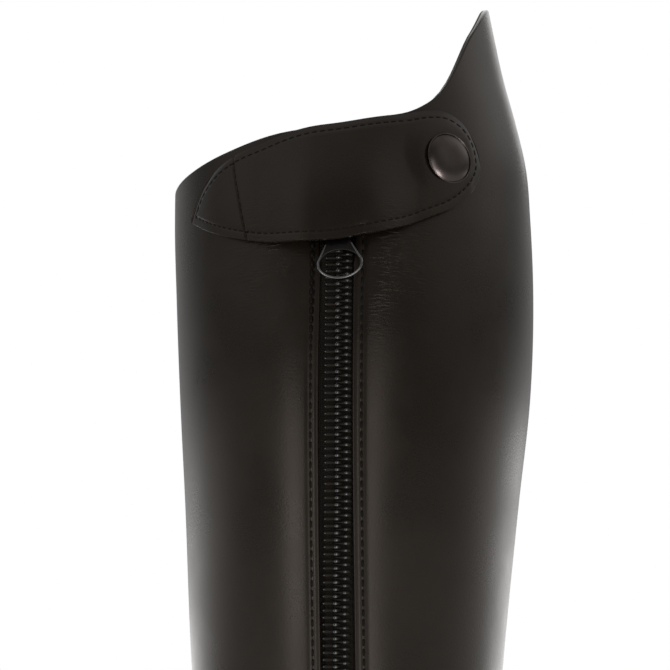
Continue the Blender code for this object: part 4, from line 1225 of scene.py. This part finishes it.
# the stage
stage = {
    "target": (-0.0060, 0.0144, 0.3927), "azimuth": 5.5, "elevation": -8.0, "distance": 1.25,
    "focalPixels": 3765.0, "imagePixels": 670.0, "sensor": 36.0,
    # softboxes: place, size, watts
    "lights": {
        "left box": ((-0.45, -0.62, 0.28), (0.16, 0.46), 0.135),
        "right box": ((0.376, -0.98, 0.36), (0.22, 0.66), 0.225),
        "top box": ((0.0, 2.2, 1.9), (2.0, 2.0), 5.5),
        "low box": ((0.19, -0.50, 0.07), (0.20, 0.15), 0.047),
        "snap card": ((0.36, -0.60, 0.13), (0.28, 0.26), 0.80),
    },
    "aim": (0.0, 0.0, 0.36), "spread": 100.0,
    # world brightness from the camera's side (0) to behind the boot (1), times a share by height at the back
    "sky": [(0.0, 0.13), (0.12, 0.14), (0.2, 0.19), (0.3, 0.21), (0.55, 0.25), (0.75, 0.42), (0.9, 0.84),
            (1.0, 1.05)],
    "skyRise": [(0.0, 2.9), (0.04, 1.85), (0.06, 1.0), (0.08, 0.42), (0.11, 0.29), (0.165, 0.35),
                (0.22, 0.44), (0.3, 0.46), (1.0, 0.46)],
    "riseFrom": (0.35, 0.7),
    # brighter high up at both sides, more so at the outer one: heights, then where each starts and ends
    "sideLift": 0.9, "sideHeights": (0.18, 0.52), "sideFrom": (0.15, 0.3), "sideTo": (0.45, 0.75),
    "glow": 0.6, "glowHeights": (0.24, 0.44), "glowOuter": (0.4, 0.75), "glowFrom": (0.4, 0.65),
    # the floor is lifted by a little light of its own, so that it stays pale
    "floorHalf": 4.0, "mottle": 400.0, "floorDark": (0.86, 0.86, 0.86), "floorLight": (0.90, 0.90, 0.90),
    "floorRough": 0.6, "floorLift": (0.14, 0.14, 0.14),
}


def addCamera():  # behind the boot and a little below, at the photo's angle
    turn, lean = math.radians(stage["azimuth"]), math.radians(stage["elevation"])
    back = Vector((math.sin(turn) * math.cos(lean), -math.cos(turn) * math.cos(lean), math.sin(lean)))
    data = bpy.data.cameras.new("camera")
    data.sensor_width = stage["sensor"]
    data.lens = stage["focalPixels"] / stage["imagePixels"] * stage["sensor"]
    camera = bpy.data.objects.new("camera", data)
    camera.location = Vector(stage["target"]) + back * stage["distance"]
    camera.rotation_euler = back.to_track_quat("Z", "Y").to_euler()
    bpy.context.collection.objects.link(camera)
    bpy.context.scene.camera = camera


def addLights():  # softboxes turned to the shaft
    aim = Vector(stage["aim"])
    for name, (place, size, watts) in stage["lights"].items():
        data = bpy.data.lights.new(name, "AREA")
        data.shape, data.size, data.size_y = "RECTANGLE", *size
        data.energy, data.spread = watts, math.radians(stage["spread"])
        light = bpy.data.objects.new(name, data)
        light.location = place
        light.rotation_euler = (Vector(place) - aim).to_track_quat("Z", "Y").to_euler()
        light.visible_camera = False
        bpy.context.collection.objects.link(light)
    only = bpy.data.collections.new("snap only")  # the card's light reaches the snap alone
    only.objects.link(bpy.data.objects["snap_dome"])
    bpy.data.objects["snap card"].light_linking.receiver_collection = only


def addSky():  # white to the camera; for light, dim at the front and bright behind
    world = bpy.data.worlds.new("studio")
    world.use_nodes = True
    tree = world.node_tree
    direction = Wire(tree).node("ShaderNodeTexCoord", None, None, "Generated")
    outer, up = direction.axis("X"), direction.axis("Z")
    turn = math.radians(stage["azimuth"])
    # 0 towards the camera, 1 behind the boot
    behind = direction.axis("Y") * (0.5 * math.cos(turn)) - outer * (0.5 * math.sin(turn)) + 0.5

    def byTable(rows, at):  # grey levels by their stops
        stops = [(stop, (level, level, level)) for stop, level in rows]
        return direction.node("ShaderNodeValToRGB", {"stops": stops}, {0: at})

    back = (byTable(stage["skyRise"], up) - 1.0) * behind.eased(*stage["riseFrom"]) + 1.0
    sides = behind.eased(*stage["sideFrom"]) * (1.0 - behind.eased(*stage["sideTo"]))
    sides = up.eased(*stage["sideHeights"]) * sides * stage["sideLift"] + 1.0
    glow = up.eased(*stage["glowHeights"]) * outer.eased(*stage["glowOuter"])
    glow = glow * behind.eased(*stage["glowFrom"])
    light = byTable(stage["sky"], behind) * back * sides + glow * stage["glow"]
    seen = direction.node("ShaderNodeLightPath", None, None, "Is Camera Ray")
    white = (1.0, 1.0, 1.0, 1.0)
    colour = direction.node("ShaderNodeMix", {"data_type": "RGBA"}, {0: seen, 6: light, 7: white}, 2)
    tree.links.new(colour.socket, tree.nodes["Background"].inputs["Color"])
    bpy.context.scene.world = world


def paintFloor(place):  # plain and pale, barely mottled
    mottle = place.noise(stage["mottle"], 3.0).eased(0.3, 0.7)
    return {"Base Color": mottle.colours(stage["floorDark"], stage["floorLight"]),
            "Roughness": stage["floorRough"], "Emission Color": stage["floorLift"], "Emission Strength": 1.0}


def addFloor():  # one square at the height of the heel's foot
    half = stage["floorHalf"]
    corners = [(-half, -half, 0.0), (half, -half, 0.0), (half, half, 0.0), (-half, half, 0.0)]
    mesh = bpy.data.meshes.new("floor")
    mesh.from_pydata(corners, [], [(0, 1, 2, 3)])
    mesh.materials.append(addFinish("pale floor", paintFloor))
    floor = bpy.data.objects.new("floor", mesh)
    bpy.context.collection.objects.link(floor)


addCamera()
addLights()
addSky()
addFloor()
bpy.context.scene.view_settings.view_transform = "Standard"
print("stage: camera", [round(v, 4) for v in bpy.context.scene.camera.location])
